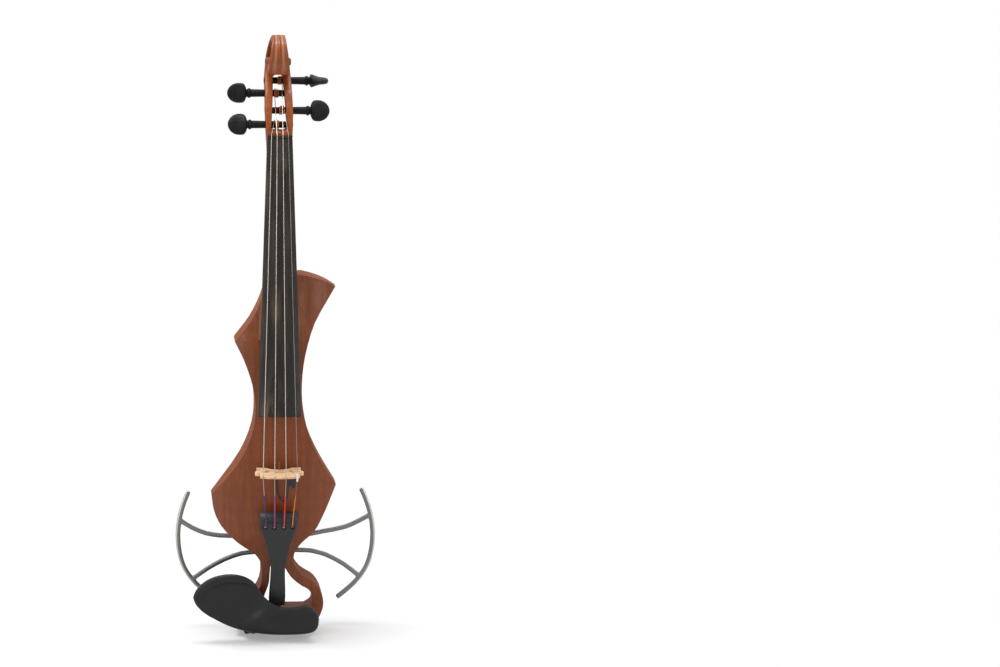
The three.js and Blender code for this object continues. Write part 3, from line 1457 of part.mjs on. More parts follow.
function makePot() {
  return rodY(potRadius, -boardTop + clearance, potDeep, 20);
}

function makeBoard() {
  const left = tubLeft + tubWall + clearance;
  const foot = tubFoot + tubWall + clearance;
  const top = tubTop - tubWall - clearance;
  return box(left, cavityRight - clearance, -boardTop - boardThick, -boardTop, foot, top);
}

// Output jack.

function makeJackHousing() {
  const block = plateXZ(roundedBox(jackLeft, jackRight, jackFoot, jackTop, bezelRound), jackProud,
    jackProud - bezelThick);
  const room = rodX(jackBodyRadius + clearance, jackLeft + bezelRound, jackBodyLong + 2 * clearance, 20);
  const mouth = rodX(threadRadius + clearance, jackLeft - overrun, 2 * overrun, 20);
  const cuts = joined([room, mouth]).translate([0, jackY, jackZ]);
  return toGeometry(toSolid(block).subtract(cuts));
}

function makeJack() {
  const back = jackLeft + bezelRound + clearance;
  const body = rodX(jackBodyRadius, back, jackBodyLong, 20);
  const thread = rodX(threadRadius, jackLeft - threadLong, back + threadLong - jackLeft + clearance, 20);
  const bore = rodX(plugBore, jackLeft - threadLong - overrun, jackBodyLong + threadLong + overrun, 16);
  return toGeometry(joined([body, thread]).subtract(toSolid(bore)));
}

function makeJackNut() {
  const left = jackLeft - clearance - nutLong;
  const outer = rodX(nutRadius, left, nutLong, 6);
  const rim = rodX(nutRadius * 0.97, left, nutLong, 24);
  const bore = rodX(threadRadius + clearance, left - overrun, nutLong + 2 * overrun, 20);
  return toGeometry(toSolid(rim).intersect(toSolid(outer)).subtract(toSolid(bore)));
}

// The whole instrument.

const finish = (color, roughness, metalness = 0) => ({ color, roughness, metalness });
const varnish = finish(0x8a4a2a, 0.42);
const darkVarnish = finish(0x7a3f24, 0.42);
const maple = finish(0xd9b68c, 0.55);
const ebony = finish(0x231d1a, 0.45);
const blackPlastic = finish(0x2b2b2c, 0.5);
const greyPlastic = finish(0x5b5b5d, 0.5);
const steel = finish(0xb9bcc0, 0.3, 1);
const chrome = finish(0xd8dade, 0.15, 1);
const silver = finish(0x8d8d8b, 0.4, 1);
const silk = finish(0xe0762a, 0.7);
const cork = finish(0x9a6a41, 0.85);
const gut = finish(0x7c4a26, 0.5);
const pale = finish(0xe6cfa4, 0.6);
const rubber = finish(0x161617, 0.6);
const circuit = finish(0x1f5a3a, 0.5);
const white = finish(0xf1eee6, 0.5);

function piece(parent, name, geometry, look, x = 0, y = 0, z = 0) {
  const mesh = new THREE.Mesh(geometry, new THREE.MeshStandardMaterial(look));
  mesh.name = name;
  mesh.position.set(x, y, z);
  parent.add(mesh);
  return mesh;
}

const violin = new THREE.Group();
const ringTop = scrollHoleShares[7];
const [hangY, hangZ] = [ringTop[0] * headLong, headFoot + ringTop[1] * headLong];
violin.position.set(0, -hangY, -hangZ);

piece(violin, "body", makeBody(), varnish);
piece(violin, "back_plate", makeBackPlate(), darkVarnish);
piece(violin, "neck", makeNeck(), maple);

const boardGroup = new THREE.Group();
boardGroup.position.set(0, -glueBack, nutZ);
boardGroup.rotation.x = -boardTilt;
violin.add(boardGroup);
piece(boardGroup, "fingerboard", makeFingerboard(), ebony);
piece(boardGroup, "nut", makeNut(), ebony);

for (const [name, peg] of Object.entries(pegTable)) {
  const [y, z] = pegPlace(peg);
  piece(violin, `peg_${name}`, makePeg(peg), ebony, 0, y, z);
  const path = windingPath(peg);
  console.log(`peg_winding_${name} least gap to itself: ${leastGap(path, 2 * windRadius).toFixed(2)} mm`);
  piece(violin, `peg_winding_${name}`, wire(path, windRadius, windSides), silk);
  piece(violin, `string_${name}`, makeString(name), steel);
}
piece(violin, "string_sleeve_e", makeSleeve(), white);

piece(violin, "bridge", makeBridge(), pale);
const pin = rodZ(pinRadius, bridgeFaceZ(pinDeep) + clearance, pinLong, 16);
piece(violin, "bridge_pin", pin, gut, 0, -pinDeep, 0);
piece(violin, "pickup_lead", makeLead(), rubber);
piece(violin, "pickup_flag", makeFlag(), rubber);

piece(violin, "tailpiece", makeTailpiece(), ebony);
piece(violin, "tailgut", makeGut(), gut);
piece(violin, "saddle", makeSaddle(), ebony);
piece(violin, "end_button", makeEndButton(), ebony, 0, -buttonDeep, 0);

piece(violin, "chinrest", makeChinrest(), blackPlastic);
for (const [name, side] of [["treble", 1], ["bass", -1]]) {
  piece(violin, `chinrest_pad_${name}`, makeCork(side), cork);
  piece(violin, `chinrest_clamp_${name}`, makeClamp(side), blackPlastic);
  piece(violin, `clamp_cork_${name}`, makeClampCork(side), cork);
  piece(violin, `clamp_screw_${name}`, makeClampScrew(), steel, side * clampX, 0, barrelZ);
  piece(violin, `frame_screw_${name}`, makeFrameScrew(), blackPlastic,
    frameScrewMid + side * frameScrewX, 0, frameScrewZ);
}
piece(violin, "shoulder_frame", makeShoulderFrame(), silver);

const back = new THREE.Group();
violin.add(back);
piece(back, "control_housing", makeControlHousing(), blackPlastic);
piece(back, "circuit_board", makeBoard(), circuit);
piece(back, "battery", makeBattery(), greyPlastic);
piece(back, "battery_door", makeDoor(), blackPlastic, 0, faceTop - doorThick / 2, doorFoot + doorThick / 2);
const front = new THREE.Group();
front.position.y = faceTop;
back.add(front);
piece(front, "switch_frame", makeSwitchFrame(), blackPlastic, switchAt[0], 0, switchAt[1]);
piece(front, "power_switch", makeSlider(), greyPlastic, switchAt[0], 0, switchAt[1]);
piece(front, "headphone_socket", makeSocket(), chrome, socketAt[0], 0, socketAt[1]);
for (const [name, [x, z]] of Object.entries(knobTable)) {
  piece(front, `knob_${name}`, makeKnob(), blackPlastic, x, 0, z);
  piece(back, `potentiometer_${name}`, makePot(), silver, x, 0, z);
}
piece(back, "jack_housing", makeJackHousing(), greyPlastic);
piece(back, "output_jack", makeJack(), steel, 0, jackY, jackZ);
piece(back, "jack_nut", makeJackNut(), chrome, 0, jackY, jackZ);

export default violin;
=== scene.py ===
# %% [markdown]
# # An electric violin, dressed in wood, silk and metal
#
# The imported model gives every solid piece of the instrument. This lesson adds what a luthier
# and a photographer add: stain and varnish, silk on the pegs and strings, softened edges, the
# fluted scroll, a pale floor and soft studio light. Everything is in metres, in the model's own
# frame, whose origin is the place inside the scroll ring where the instrument hangs.

# %% Load the model
import json
import math

import bmesh
import bpy
import numpy as np
from mathutils import Matrix, Vector

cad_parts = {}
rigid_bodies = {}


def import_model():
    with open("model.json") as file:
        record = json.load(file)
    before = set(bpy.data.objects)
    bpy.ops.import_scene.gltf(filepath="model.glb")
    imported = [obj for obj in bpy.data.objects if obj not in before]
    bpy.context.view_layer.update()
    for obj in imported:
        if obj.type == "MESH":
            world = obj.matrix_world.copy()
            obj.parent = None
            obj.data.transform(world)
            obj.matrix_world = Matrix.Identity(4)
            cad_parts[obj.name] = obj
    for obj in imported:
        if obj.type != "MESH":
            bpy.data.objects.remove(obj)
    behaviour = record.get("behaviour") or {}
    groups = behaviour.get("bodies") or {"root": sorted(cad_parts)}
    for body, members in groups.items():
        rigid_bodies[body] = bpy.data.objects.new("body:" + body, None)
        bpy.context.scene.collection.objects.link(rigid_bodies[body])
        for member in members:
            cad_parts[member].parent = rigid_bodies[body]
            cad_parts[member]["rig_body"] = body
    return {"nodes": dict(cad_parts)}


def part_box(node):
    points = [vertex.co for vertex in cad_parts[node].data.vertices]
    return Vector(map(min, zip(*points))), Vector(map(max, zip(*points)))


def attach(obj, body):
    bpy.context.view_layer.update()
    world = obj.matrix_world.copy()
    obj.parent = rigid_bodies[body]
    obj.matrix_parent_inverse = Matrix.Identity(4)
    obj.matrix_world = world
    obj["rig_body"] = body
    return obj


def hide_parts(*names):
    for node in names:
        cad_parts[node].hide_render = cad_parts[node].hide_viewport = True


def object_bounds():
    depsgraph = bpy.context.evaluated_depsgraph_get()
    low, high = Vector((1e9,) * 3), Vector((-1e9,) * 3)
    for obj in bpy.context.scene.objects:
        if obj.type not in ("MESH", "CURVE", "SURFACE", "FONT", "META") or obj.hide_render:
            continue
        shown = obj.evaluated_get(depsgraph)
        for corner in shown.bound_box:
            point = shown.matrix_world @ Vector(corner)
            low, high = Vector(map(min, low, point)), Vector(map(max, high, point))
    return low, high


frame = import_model()
nodes = frame["nodes"]
model_box = [list(corner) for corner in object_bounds()]
print("pieces in the model:", len(nodes))

# %% [markdown]
# The sizes below were measured in millimetres from the body's back plane, its middle line and
# the underside of the end button. One shift turns such a place into the model's frame, so a
# number can be read off the instrument and used here as it is.

# %% From workshop millimetres to the model's metres
WORKSHOP_SHIFT = np.array([0.0, -8.398, -581.0225])


def metres(places):
    """The places plus the workshop's shift, in thousandths."""
    return (np.asarray(places, float) + WORKSHOP_SHIFT) / 1000


def height(z_mm):
    """The model's Z, in metres, of a height in workshop millimetres."""
    return float(metres([0, 0, z_mm])[2])


print("lowest point of the model:", round(model_box[0][2], 4), "m")

# %% [markdown]
# The camera stands nearly three metres away, a little above the middle of the instrument, with
# a long lens, as in a catalogue photograph. It first looks straight at a point on the
# fingerboard and then turns to the right, so the instrument stands in the left part of a wide
# frame. A turn keeps the perspective of a real photograph, and no lens shift is needed.

# %% Camera
FRAME_WIDE, FRAME_TALL = 1000, 667
SENSOR_WIDE = 36
FOCAL_PIXELS = 2946.0
CAMERA_FAR = 2.8755
CAMERA_YAW, CAMERA_PITCH, CAMERA_ROLL = (math.radians(a) for a in (-3.08, 10.66, 0.39))
LOOK_AT = metres([0, -20, 295])
LOOK_AT_PIXEL = (278.1, 338.0)


def camera_axes(yaw, pitch, roll):
    """Right, up and backward directions of a camera: backward is the point at that azimuth and
    elevation on a unit sphere, right is level, and roll turns right and up about backward."""
    back = Vector((math.sin(yaw) * math.cos(pitch), -math.cos(yaw) * math.cos(pitch),
                   math.sin(pitch)))
    level = Vector((math.cos(yaw), math.sin(yaw), 0))
    upright = back.cross(level)
    right = level * math.cos(roll) + upright * math.sin(roll)
    up = upright * math.cos(roll) - level * math.sin(roll)
    return Matrix((right, up, back)).transposed()


camera_data = bpy.data.cameras.new("catalogue_camera")
camera_data.sensor_width = SENSOR_WIDE
camera_data.lens = SENSOR_WIDE * FOCAL_PIXELS / FRAME_WIDE
camera_data.clip_end = 40
camera = bpy.data.objects.new("catalogue_camera", camera_data)
bpy.context.scene.collection.objects.link(camera)
axes = camera_axes(CAMERA_YAW, CAMERA_PITCH, CAMERA_ROLL)
aside = math.atan((LOOK_AT_PIXEL[0] - FRAME_WIDE / 2) / FOCAL_PIXELS)
above = math.atan((LOOK_AT_PIXEL[1] - FRAME_TALL / 2) / FOCAL_PIXELS)
turned = axes @ Matrix.Rotation(aside, 3, "Y") @ Matrix.Rotation(above, 3, "X")
stand = Vector(LOOK_AT) + axes.col[2] * CAMERA_FAR
camera.matrix_world = Matrix.Translation(stand) @ turned.to_4x4()
bpy.context.scene.camera = camera
print("camera at", [round(v, 3) for v in camera.matrix_world.translation])

# %% [markdown]
# A mesh here is always a grid of points that is worked out at once with numpy. A tube is such a
# grid: rings of points carried along a path. Each ring stands square to the path, and one
# chosen direction, which the path never follows, keeps the rings from twisting.

# %% Grids, tubes and turned shapes


def put_in_scene(name, points, faces, material, smooth_below=40):
    """A mesh object from an array of points and a list of faces, smooth but for its corners."""
    mesh = bpy.data.meshes.new(name)
    mesh.from_pydata(np.asarray(points).reshape(-1, 3), [], faces)
    mesh.update()
    mesh.polygons.foreach_set("use_smooth", np.ones(len(mesh.polygons), bool))
    mesh.set_sharp_from_angle(angle=math.radians(smooth_below))
    made = bpy.data.objects.new(name, mesh)
    bpy.context.scene.collection.objects.link(made)
    made.data.materials.append(material)
    return made


def ring_faces(rings, sides, closed=False):
    """Quads between neighbouring rings of a grid, and a cap on each end of an open one."""
    i, j = np.meshgrid(np.arange(rings if closed else rings - 1), np.arange(sides), indexing="ij")
    after, beside = (i + 1) % rings, (j + 1) % sides
    quads = np.stack([i * sides + j, i * sides + beside, after * sides + beside,
                      after * sides + j], -1).reshape(-1, 4).tolist()
    if closed:
        return quads
    first = list(range(sides))[::-1]
    last = list(range((rings - 1) * sides, rings * sides))
    return quads + [first, last]


def unit(vectors):
    """Vectors divided by their lengths."""
    return vectors / np.linalg.norm(vectors, axis=-1, keepdims=True)


def tube_points(path, radius, sides, steady=(1, 0, 0)):
    """Rings round a path: the path's point, plus radius times the cosine of the angle along one
    cross direction, plus radius times its sine along the other. The cross directions come from
    the path's direction and the steady one."""
    path = np.asarray(path, float)
    along = unit(np.gradient(path, axis=0))
    across = unit(np.cross(along, np.asarray(steady, float)))
    beside = np.cross(along, across)
    turn = np.linspace(0, 2 * np.pi, sides, endpoint=False)
    radius = np.broadcast_to(np.asarray(radius, float), len(path))[:, None, None]
    return (path[:, None] + radius * (np.cos(turn)[None, :, None] * across[:, None]
                                      + np.sin(turn)[None, :, None] * beside[:, None]))


def smooth_path(places, count):
    """A Catmull-Rom path through the places: one cubic polynomial between each two neighbours,
    sampled evenly in the place number."""
    places = np.asarray(places, float)
    padded = np.vstack([2 * places[0] - places[1], places, 2 * places[-1] - places[-2]])
    share = np.linspace(0, len(places) - 1, count)
    start = np.minimum(share.astype(int), len(places) - 2)
    t = (share - start)[:, None]
    a, b, c, d = (padded[start + k] for k in range(4))
    return 0.5 * (2 * b + (c - a) * t + (2 * a - 5 * b + 4 * c - d) * t**2
                  + (3 * b - a - 3 * c + d) * t**3)


def run_along(path):
    """How far along the path each place lies: the lengths of the steps, summed up."""
    return np.append(0, np.linalg.norm(np.diff(path, axis=0), axis=1).cumsum())


def add_length_map(made, rings, sides, reach):
    """A UV map for a tube: U is the share of a turn round it and V runs along it in metres."""
    layer = made.data.uv_layers.new(name="length_map")
    corners = np.zeros(len(made.data.loops), int)
    made.data.loops.foreach_get("vertex_index", corners)
    ring, side = corners // sides, corners % sides
    uv = np.stack([side / sides, np.asarray(reach)[np.minimum(ring, rings - 1)]], -1)
    layer.data.foreach_set("uv", uv.ravel())


print("helpers for grids ready")

# %% [markdown]
# Every finish is a small tree of shader nodes that ends in one Principled BSDF. A few helpers
# keep the cells short: one adds a node and wires it, the others are the sums and blends that
# each finish needs. Colours are written as a painter would read them off a picture, from 0 to
# 255, and turned into the linear light that the renderer counts in.

# %% Helpers for finishes


def tone(red, green, blue):
    """A picture colour as linear light: divided by 255, then the standard curve undone."""
    share = np.array([red, green, blue]) / 255
    linear = np.where(share <= 0.04045, share / 12.92, ((share + 0.055) / 1.055) ** 2.4)
    return (*linear.tolist(), 1)


def add_node(tree, kind, wires=None, **settings):
    """A shader node with its settings, and its inputs set to values or wired to outputs."""
    made = tree.nodes.new("ShaderNode" + kind)
    for setting, value in settings.items():
        setattr(made, setting, value)
    for label, value in (wires or {}).items():
        if isinstance(value, bpy.types.NodeSocket):
            tree.links.new(value, made.inputs[label])
        else:
            made.inputs[label].default_value = value
    return made


def sum_of(tree, work, first, second=0.0):
    """One arithmetic step on two numbers or wires."""
    return add_node(tree, "Math", {0: first, 1: second}, operation=work).outputs[0]


def remap(tree, value, low, high, to_low=0.0, to_high=1.0, way="SMOOTHSTEP"):
    """A value's place between low and high, moved to between to_low and to_high."""
    wires = {"Value": value, "From Min": low, "From Max": high, "To Min": to_low,
             "To Max": to_high}
    return add_node(tree, "MapRange", wires, interpolation_type=way).outputs[0]


def blend_colour(tree, share, first, second, way="MIX"):
    """Two colours blended by a share."""
    return add_node(tree, "Mix", {0: share, 6: first, 7: second}, data_type="RGBA",
                    blend_type=way).outputs[2]


def place(tree, scale=(1, 1, 1), turn=(0, 0, 0)):
    """The piece's own coordinates, turned and stretched for a pattern."""
    here = add_node(tree, "TexCoord").outputs["Object"]
    return add_node(tree, "Mapping", {"Vector": here, "Scale": scale,
                                      "Rotation": turn}).outputs[0]


def noise(tree, where, scale=1.0, detail=2.0, **more):
    """Soft noise at the given places, as one wire between zero and one."""
    wires = {"Vector": where, "Scale": scale, "Detail": detail, **more}
    return add_node(tree, "TexNoise", wires).outputs["Fac"]


def flipped(tree, share):
    """One minus a share."""
    return sum_of(tree, "SUBTRACT", 1.0, share)


def shaded_by(tree, colour, factor):
    """A colour whose three parts are multiplied by one number."""
    grey = add_node(tree, "CombineColor", {0: factor, 1: factor, 2: factor}).outputs[0]
    return blend_colour(tree, 1.0, colour, grey, "MULTIPLY")


def new_finish(name, **values):
    """A material with one Principled BSDF, whose plain values are set on its own sockets."""
    material = bpy.data.materials.new(name)
    material.use_nodes = True
    tree = material.node_tree
    tree.nodes.clear()
    shader = tree.nodes.new("ShaderNodeBsdfPrincipled")
    output = tree.nodes.new("ShaderNodeOutputMaterial")
    tree.links.new(shader.outputs[0], output.inputs["Surface"])
    for label, value in values.items():
        shader.inputs[label.replace("_", " ")].default_value = value
    return material, tree, shader


def parts_of(material):
    """The node tree of a finish and the Principled BSDF in it."""
    tree = material.node_tree
    return tree, next(node for node in tree.nodes if node.type == "BSDF_PRINCIPLED")


def new_group(name, inputs, outputs):
    """An empty group of shader nodes with named inputs, as (label, kind, value), and outputs."""
    tree = bpy.data.node_groups.new(name, "ShaderNodeTree")
    for label, kind, value in inputs:
        socket = tree.interface.new_socket(label, in_out="INPUT", socket_type="NodeSocket" + kind)
        if value is not None:
            socket.default_value = value
    for label, kind in outputs:
        tree.interface.new_socket(label, in_out="OUTPUT", socket_type="NodeSocket" + kind)
    start = tree.nodes.new("NodeGroupInput")
    end = tree.nodes.new("NodeGroupOutput")
    return tree, start.outputs, end.inputs


def use_group(tree, group, **wires):
    """A group placed in a finish with its own values."""
    made = tree.nodes.new("ShaderNodeGroup")
    made.node_tree = group
    for label, value in wires.items():
        label = label.replace("_", " ")
        if isinstance(value, bpy.types.NodeSocket):
            tree.links.new(value, made.inputs[label])
        else:
            made.inputs[label].default_value = value
    return made.outputs


def dent(tree, shader, height_wire, depth, strength=1.0):
    """A bump whose height wire is counted in depth metres, laid over any earlier bump."""
    bump = add_node(tree, "Bump", {"Height": height_wire, "Distance": depth,
                                   "Strength": strength})
    for earlier in shader.inputs["Normal"].links:
        tree.links.new(earlier.from_socket, bump.inputs["Normal"])
    tree.links.new(bump.outputs[0], shader.inputs["Normal"])


def recolour(tree, shader, share, colour, way="MIX"):
    """The finish's colour so far, blended by a share towards another one."""
    so_far = shader.inputs["Base Color"]
    before = so_far.links[0].from_socket if so_far.links else tuple(so_far.default_value)
    tree.links.new(blend_colour(tree, share, before, colour, way), so_far)


def axis_wires(tree):
    """The piece's own X, Y and Z as three wires."""
    here = add_node(tree, "TexCoord").outputs["Object"]
    return add_node(tree, "SeparateXYZ", {0: here}).outputs


def product(tree, *wires):
    """All the wires multiplied."""
    result = wires[0]
    for wire in wires[1:]:
        result = sum_of(tree, "MULTIPLY", result, wire)
    return result


def reach_from(tree, first, first_middle, second, second_middle):
    """The distance in a plane: the square root of the two squared differences' sum."""
    aside = sum_of(tree, "POWER", sum_of(tree, "SUBTRACT", first, first_middle), 2.0)
    above = sum_of(tree, "POWER", sum_of(tree, "SUBTRACT", second, second_middle), 2.0)
    return sum_of(tree, "SQRT", sum_of(tree, "ADD", aside, above))


print("helpers for finishes ready")

# %% [markdown]
# Three effects come back in many finishes, so each is a group that is built once. Timber gives
# the long figure and the short open pores of wood, both by stretching noise along the grain.
# Moulding gives the fine sandy skin of moulded plastic. Handling gives the soft, large patches
# where fingers have polished or dulled a surface.

# %% Timber, moulding and handling
timber, given, made = new_group(
    "timber",
    [("Vector", "Vector", None), ("Grain", "Float", 260.0), ("Pores", "Float", 900.0)],
    [("Figure", "Float"), ("Open pores", "Float"), ("Height", "Float")])
bent = add_node(timber, "TexNoise", {"Vector": given["Vector"], "Scale": 9.0, "Detail": 1.0})
shifted = add_node(timber, "VectorMath", {0: bent.outputs["Color"], 3: 0.004}, operation="SCALE")
warped = add_node(timber, "VectorMath", {0: given["Vector"], 1: shifted.outputs[0]})
streaks = add_node(timber, "Mapping", {"Vector": warped.outputs[0], "Scale": (1, 1, 0.045)})
figure = noise(timber, streaks.outputs[0], given["Grain"], 4.0, Roughness=0.6)
dashes = add_node(timber, "Mapping", {"Vector": warped.outputs[0], "Scale": (1, 1, 0.14)})
pores = noise(timber, dashes.outputs[0], given["Pores"], 1.0)
pore_mask = remap(timber, pores, 0.58, 0.7)
timber.links.new(remap(timber, figure, 0.32, 0.68), made["Figure"])
timber.links.new(pore_mask, made["Open pores"])
timber.links.new(flipped(timber, pore_mask), made["Height"])

moulding, given, made = new_group(
    "moulding", [("Vector", "Vector", None), ("Size", "Float", 0.0008)],
    [("Height", "Float"), ("Mottle", "Float")])
fine = sum_of(moulding, "DIVIDE", 1.0, given["Size"])
moulding.links.new(noise(moulding, given["Vector"], fine), made["Height"])
moulding.links.new(noise(moulding, given["Vector"], 55.0, 3.0), made["Mottle"])

handling, given, made = new_group(
    "handling", [("Vector", "Vector", None), ("Patch", "Float", 0.03)],
    [("Smudge", "Float")])
coarse = sum_of(handling, "DIVIDE", 1.0, given["Patch"])
smear = noise(handling, given["Vector"], coarse, 3.0, Distortion=0.6)
handling.links.new(remap(handling, smear, 0.35, 0.65), made["Smudge"])
print("groups:", [g.name for g in bpy.data.node_groups])

# %% [markdown]
# The body is stained a warm red-brown and sealed with a satin varnish. The stain sinks into the
# open pores, so they are darker than the wood round them, and the figure runs along the body.
# The varnish is a thin clear coat whose gloss changes a little from hand to hand. It is satin,
# so it does not mirror at a slant: there its roughness grows and the coat fades. A Bevel node
# turns the light round each corner as if it were sanded to a radius of a millimetre.

# %% Stained and varnished wood
CORNER_ROUND = 0.0012
RED_BROWN = tone(124, 60, 16)
DEEP_BROWN = tone(110, 50, 10)
BACK_BROWN = tone(148, 73, 22)
BACK_DEEP = tone(132, 62, 16)


def varnished(name, light, deep, grain=230.0):
    """Stain that is blended from light to deep along the figure, darker in the pores."""
    material, tree, shader = new_finish(name, Coat_Roughness=0.22, Specular_IOR_Level=0.3)
    wood = use_group(tree, timber, Vector=place(tree), Grain=grain, Pores=780.0)
    hands = use_group(tree, handling, Vector=place(tree), Patch=0.045)
    figured = blend_colour(tree, wood["Figure"], light, deep)
    pored = blend_colour(tree, product(tree, wood["Open pores"], 0.55), figured, deep)
    flame = remap(tree, noise(tree, place(tree, (6, 6, 120))), 0.35, 0.65, 0.96, 1.03)
    shaded = shaded_by(tree, pored, flame)
    weave = noise(tree, place(tree, (520, 520, 900)))
    woven = remap(tree, weave, 0.3, 0.7, 0.9, 1.1, "LINEAR")
    tree.links.new(shaded_by(tree, shaded, woven), shader.inputs["Base Color"])
    facing = add_node(tree, "LayerWeight", {"Blend": 0.5}).outputs["Facing"]
    slant = remap(tree, facing, 0.35, 0.85)
    satin = remap(tree, hands["Smudge"], 0, 1, 0.31, 0.39)
    tree.links.new(sum_of(tree, "ADD", satin, product(tree, slant, 0.45)),
                   shader.inputs["Roughness"])
    tree.links.new(remap(tree, slant, 0, 1, 0.08, 0.0), shader.inputs["Coat Weight"])
    rounded = add_node(tree, "Bevel", {"Radius": CORNER_ROUND}, samples=4)
    tree.links.new(rounded.outputs[0], shader.inputs["Normal"])
    dent(tree, shader, wood["Height"], 0.00006)
    return material, tree, shader


body_wood = varnished("stained_body", RED_BROWN, DEEP_BROWN)[0]
back_wood = varnished("stained_back", BACK_BROWN, BACK_DEEP)[0]
print("wood finishes:", body_wood.name, back_wood.name)

# %% [markdown]
# The head and the neck are one piece of maple. The maker stains the head and the neck's root
# and leaves the middle bare for the player's hand, with the stain fading out over a centimetre.
# So one material carries both, and the height along the neck decides between them.

# %% Neck, raw in the middle
RAW_MAPLE = tone(222, 190, 156)
RAW_STREAK = tone(206, 170, 134)
STAIN_ENDS = height(382), height(398)
STAIN_BEGINS = height(484), height(470)
neck_wood, tree, shader = varnished("neck_maple", BACK_BROWN, BACK_DEEP, 420.0)
x_wire, y_wire, z_wire = axis_wires(tree)
wavy = remap(tree, noise(tree, place(tree, (60, 60, 12))), 0, 1, -0.006, 0.006, "LINEAR")
level = sum_of(tree, "ADD", z_wire, wavy)
from_root = remap(tree, level, *STAIN_ENDS)
from_head = remap(tree, level, *STAIN_BEGINS)
maple_wood = use_group(tree, timber, Vector=place(tree), Grain=420.0, Pores=1100.0)
maple = blend_colour(tree, maple_wood["Figure"], RAW_MAPLE, RAW_STREAK)
recolour(tree, shader, product(tree, from_root, from_head), maple)
print("bare maple from", round(STAIN_ENDS[1], 3), "to", round(STAIN_BEGINS[1], 3), "m")

# %% [markdown]
# The band of the scroll is carved with two flutes beside a narrow middle ridge. Across the band
# a groove is a bell between the ridge and the edge, in shares of the band's half width, which
# grows from the top down. The flutes get a painted highlight and the band's edges painted shade.
# Below the pegbox the chin's face gets a painted pale reflection, an ellipse seen from behind,
# with a painted highlight on its rim, and the corner under it gets painted shade.

# %% Flutes and chin
BAND_FOOT = height(545)
CHIN_MIDDLE = height(494)
half_wide = remap(tree, z_wire, height(548), height(587), 0.0118, 0.0064, "LINEAR")
band_share = sum_of(tree, "DIVIDE", sum_of(tree, "ABSOLUTE", x_wire), half_wide)
on_band = remap(tree, z_wire, BAND_FOOT, height(560))
from_ridge = remap(tree, band_share, 0.05, 0.34)
to_edge = remap(tree, band_share, 0.46, 0.8, 1, 0)
flute = product(tree, from_ridge, to_edge, on_band)
dent(tree, shader, flipped(tree, flute), 0.0022)
# painted highlight in the flutes
recolour(tree, shader, product(tree, flute, 0.3), tone(206, 150, 120))
edge_shade = product(tree, remap(tree, band_share, 0.8, 1.0), on_band)
# painted shade along the band's edges
recolour(tree, shader, product(tree, edge_shade, 0.45), tone(70, 32, 18))
behind = remap(tree, y_wire, -0.012, -0.009)
round_chin = reach_from(tree, product(tree, x_wire, 0.76), 0.0, z_wire, CHIN_MIDDLE)
low_down = product(tree, behind, remap(tree, z_wire, height(494.6), height(493.8)))
chin_reflection = product(tree, remap(tree, round_chin, 0.0083, 0.0088, 1, 0), low_down)
# painted shade in the corner under the chin
recolour(tree, shader, product(tree, low_down, 0.5), tone(78, 42, 28))
# painted pale reflection on the chin's face
recolour(tree, shader, product(tree, chin_reflection, 0.85), tone(204, 160, 140))
chin_rim_highlight = product(tree, remap(tree, round_chin, 0.0076, 0.0082), chin_reflection)
# painted highlight along the rim of the chin's reflection
recolour(tree, shader, chin_rim_highlight, tone(228, 194, 172))
stain_spot = reach_from(tree, x_wire, 0.0, product(tree, z_wire, 0.5), height(477) * 0.5)
recolour(tree, shader, product(tree, remap(tree, stain_spot, 0.002, 0.007, 0.75, 0),
                               remap(tree, y_wire, -0.026, -0.024)), tone(92, 52, 36))
print("flutes from", round(BAND_FOOT, 3), "m up")

# %% [markdown]
# The fingerboard and nut are a dark, dense wood that has been oiled and not varnished. Its
# brown streaks show only here and there.

# %% Ebony
ebony, tree, shader = new_finish("ebony", Specular_IOR_Level=0.25)
streaky = noise(tree, place(tree, (130, 130, 7)), detail=5.0, Roughness=0.65)
broad = noise(tree, place(tree, (60, 60, 9), (0, 0, 0.4)), detail=1.0)
fine_streak = remap(tree, streaky, 0.42, 0.7)
brown_share = product(tree, fine_streak, remap(tree, broad, 0.5, 0.72))
blackish = blend_colour(tree, fine_streak, tone(29, 25, 21), tone(54, 47, 40))
tree.links.new(blend_colour(tree, brown_share, blackish, tone(104, 80, 62)),
               shader.inputs["Base Color"])
hands = use_group(tree, handling, Vector=place(tree), Patch=0.02)
tree.links.new(remap(tree, hands["Smudge"], 0, 1, 0.4, 0.55), shader.inputs["Roughness"])
dent(tree, shader, streaky, 0.00006)
print("dark wood ready")

# %% [markdown]
# The bridge is pale, dry maple, cut so that its growth lines show as fine flecks.

# %% Bridge maple
bridge_wood, tree, shader = new_finish("bridge_maple", Roughness=0.6, Specular_IOR_Level=0.3)
rays = remap(tree, noise(tree, place(tree, (160, 900, 900)), detail=3.0), 0.52, 0.66)
wood = use_group(tree, timber, Vector=place(tree, turn=(0, math.pi / 2, 0)), Grain=300.0,
                 Pores=1500.0)
pale = blend_colour(tree, wood["Figure"], tone(232, 196, 158), tone(216, 174, 134))
flecked = blend_colour(tree, product(tree, rays, 0.5), pale, tone(172, 120, 84))
tree.links.new(flecked, shader.inputs["Base Color"])
dent(tree, shader, wood["Height"], 0.00005)
print("bridge wood ready")

# %% [markdown]
# The pegs, tailpiece, chinrest and electronics cover are matt black moulded plastic. Real black
# plastic is a dark grey with a sandy skin, so the light spreads softly over it.

# %% Plastics


def add_skin(tree, shader, size, patch, rough, depth):
    """A fine skin as relief, and a roughness that drifts between the two values of rough, half
    with the skin's mottle and half with the marks of hands."""
    skin = use_group(tree, moulding, Vector=place(tree), Size=size)
    hands = use_group(tree, handling, Vector=place(tree), Patch=patch)
    drift = sum_of(tree, "ADD", product(tree, skin["Mottle"], 0.5),
                   product(tree, hands["Smudge"], 0.5))
    tree.links.new(remap(tree, drift, 0.2, 0.8, *rough), shader.inputs["Roughness"])
    dent(tree, shader, skin["Height"], depth)


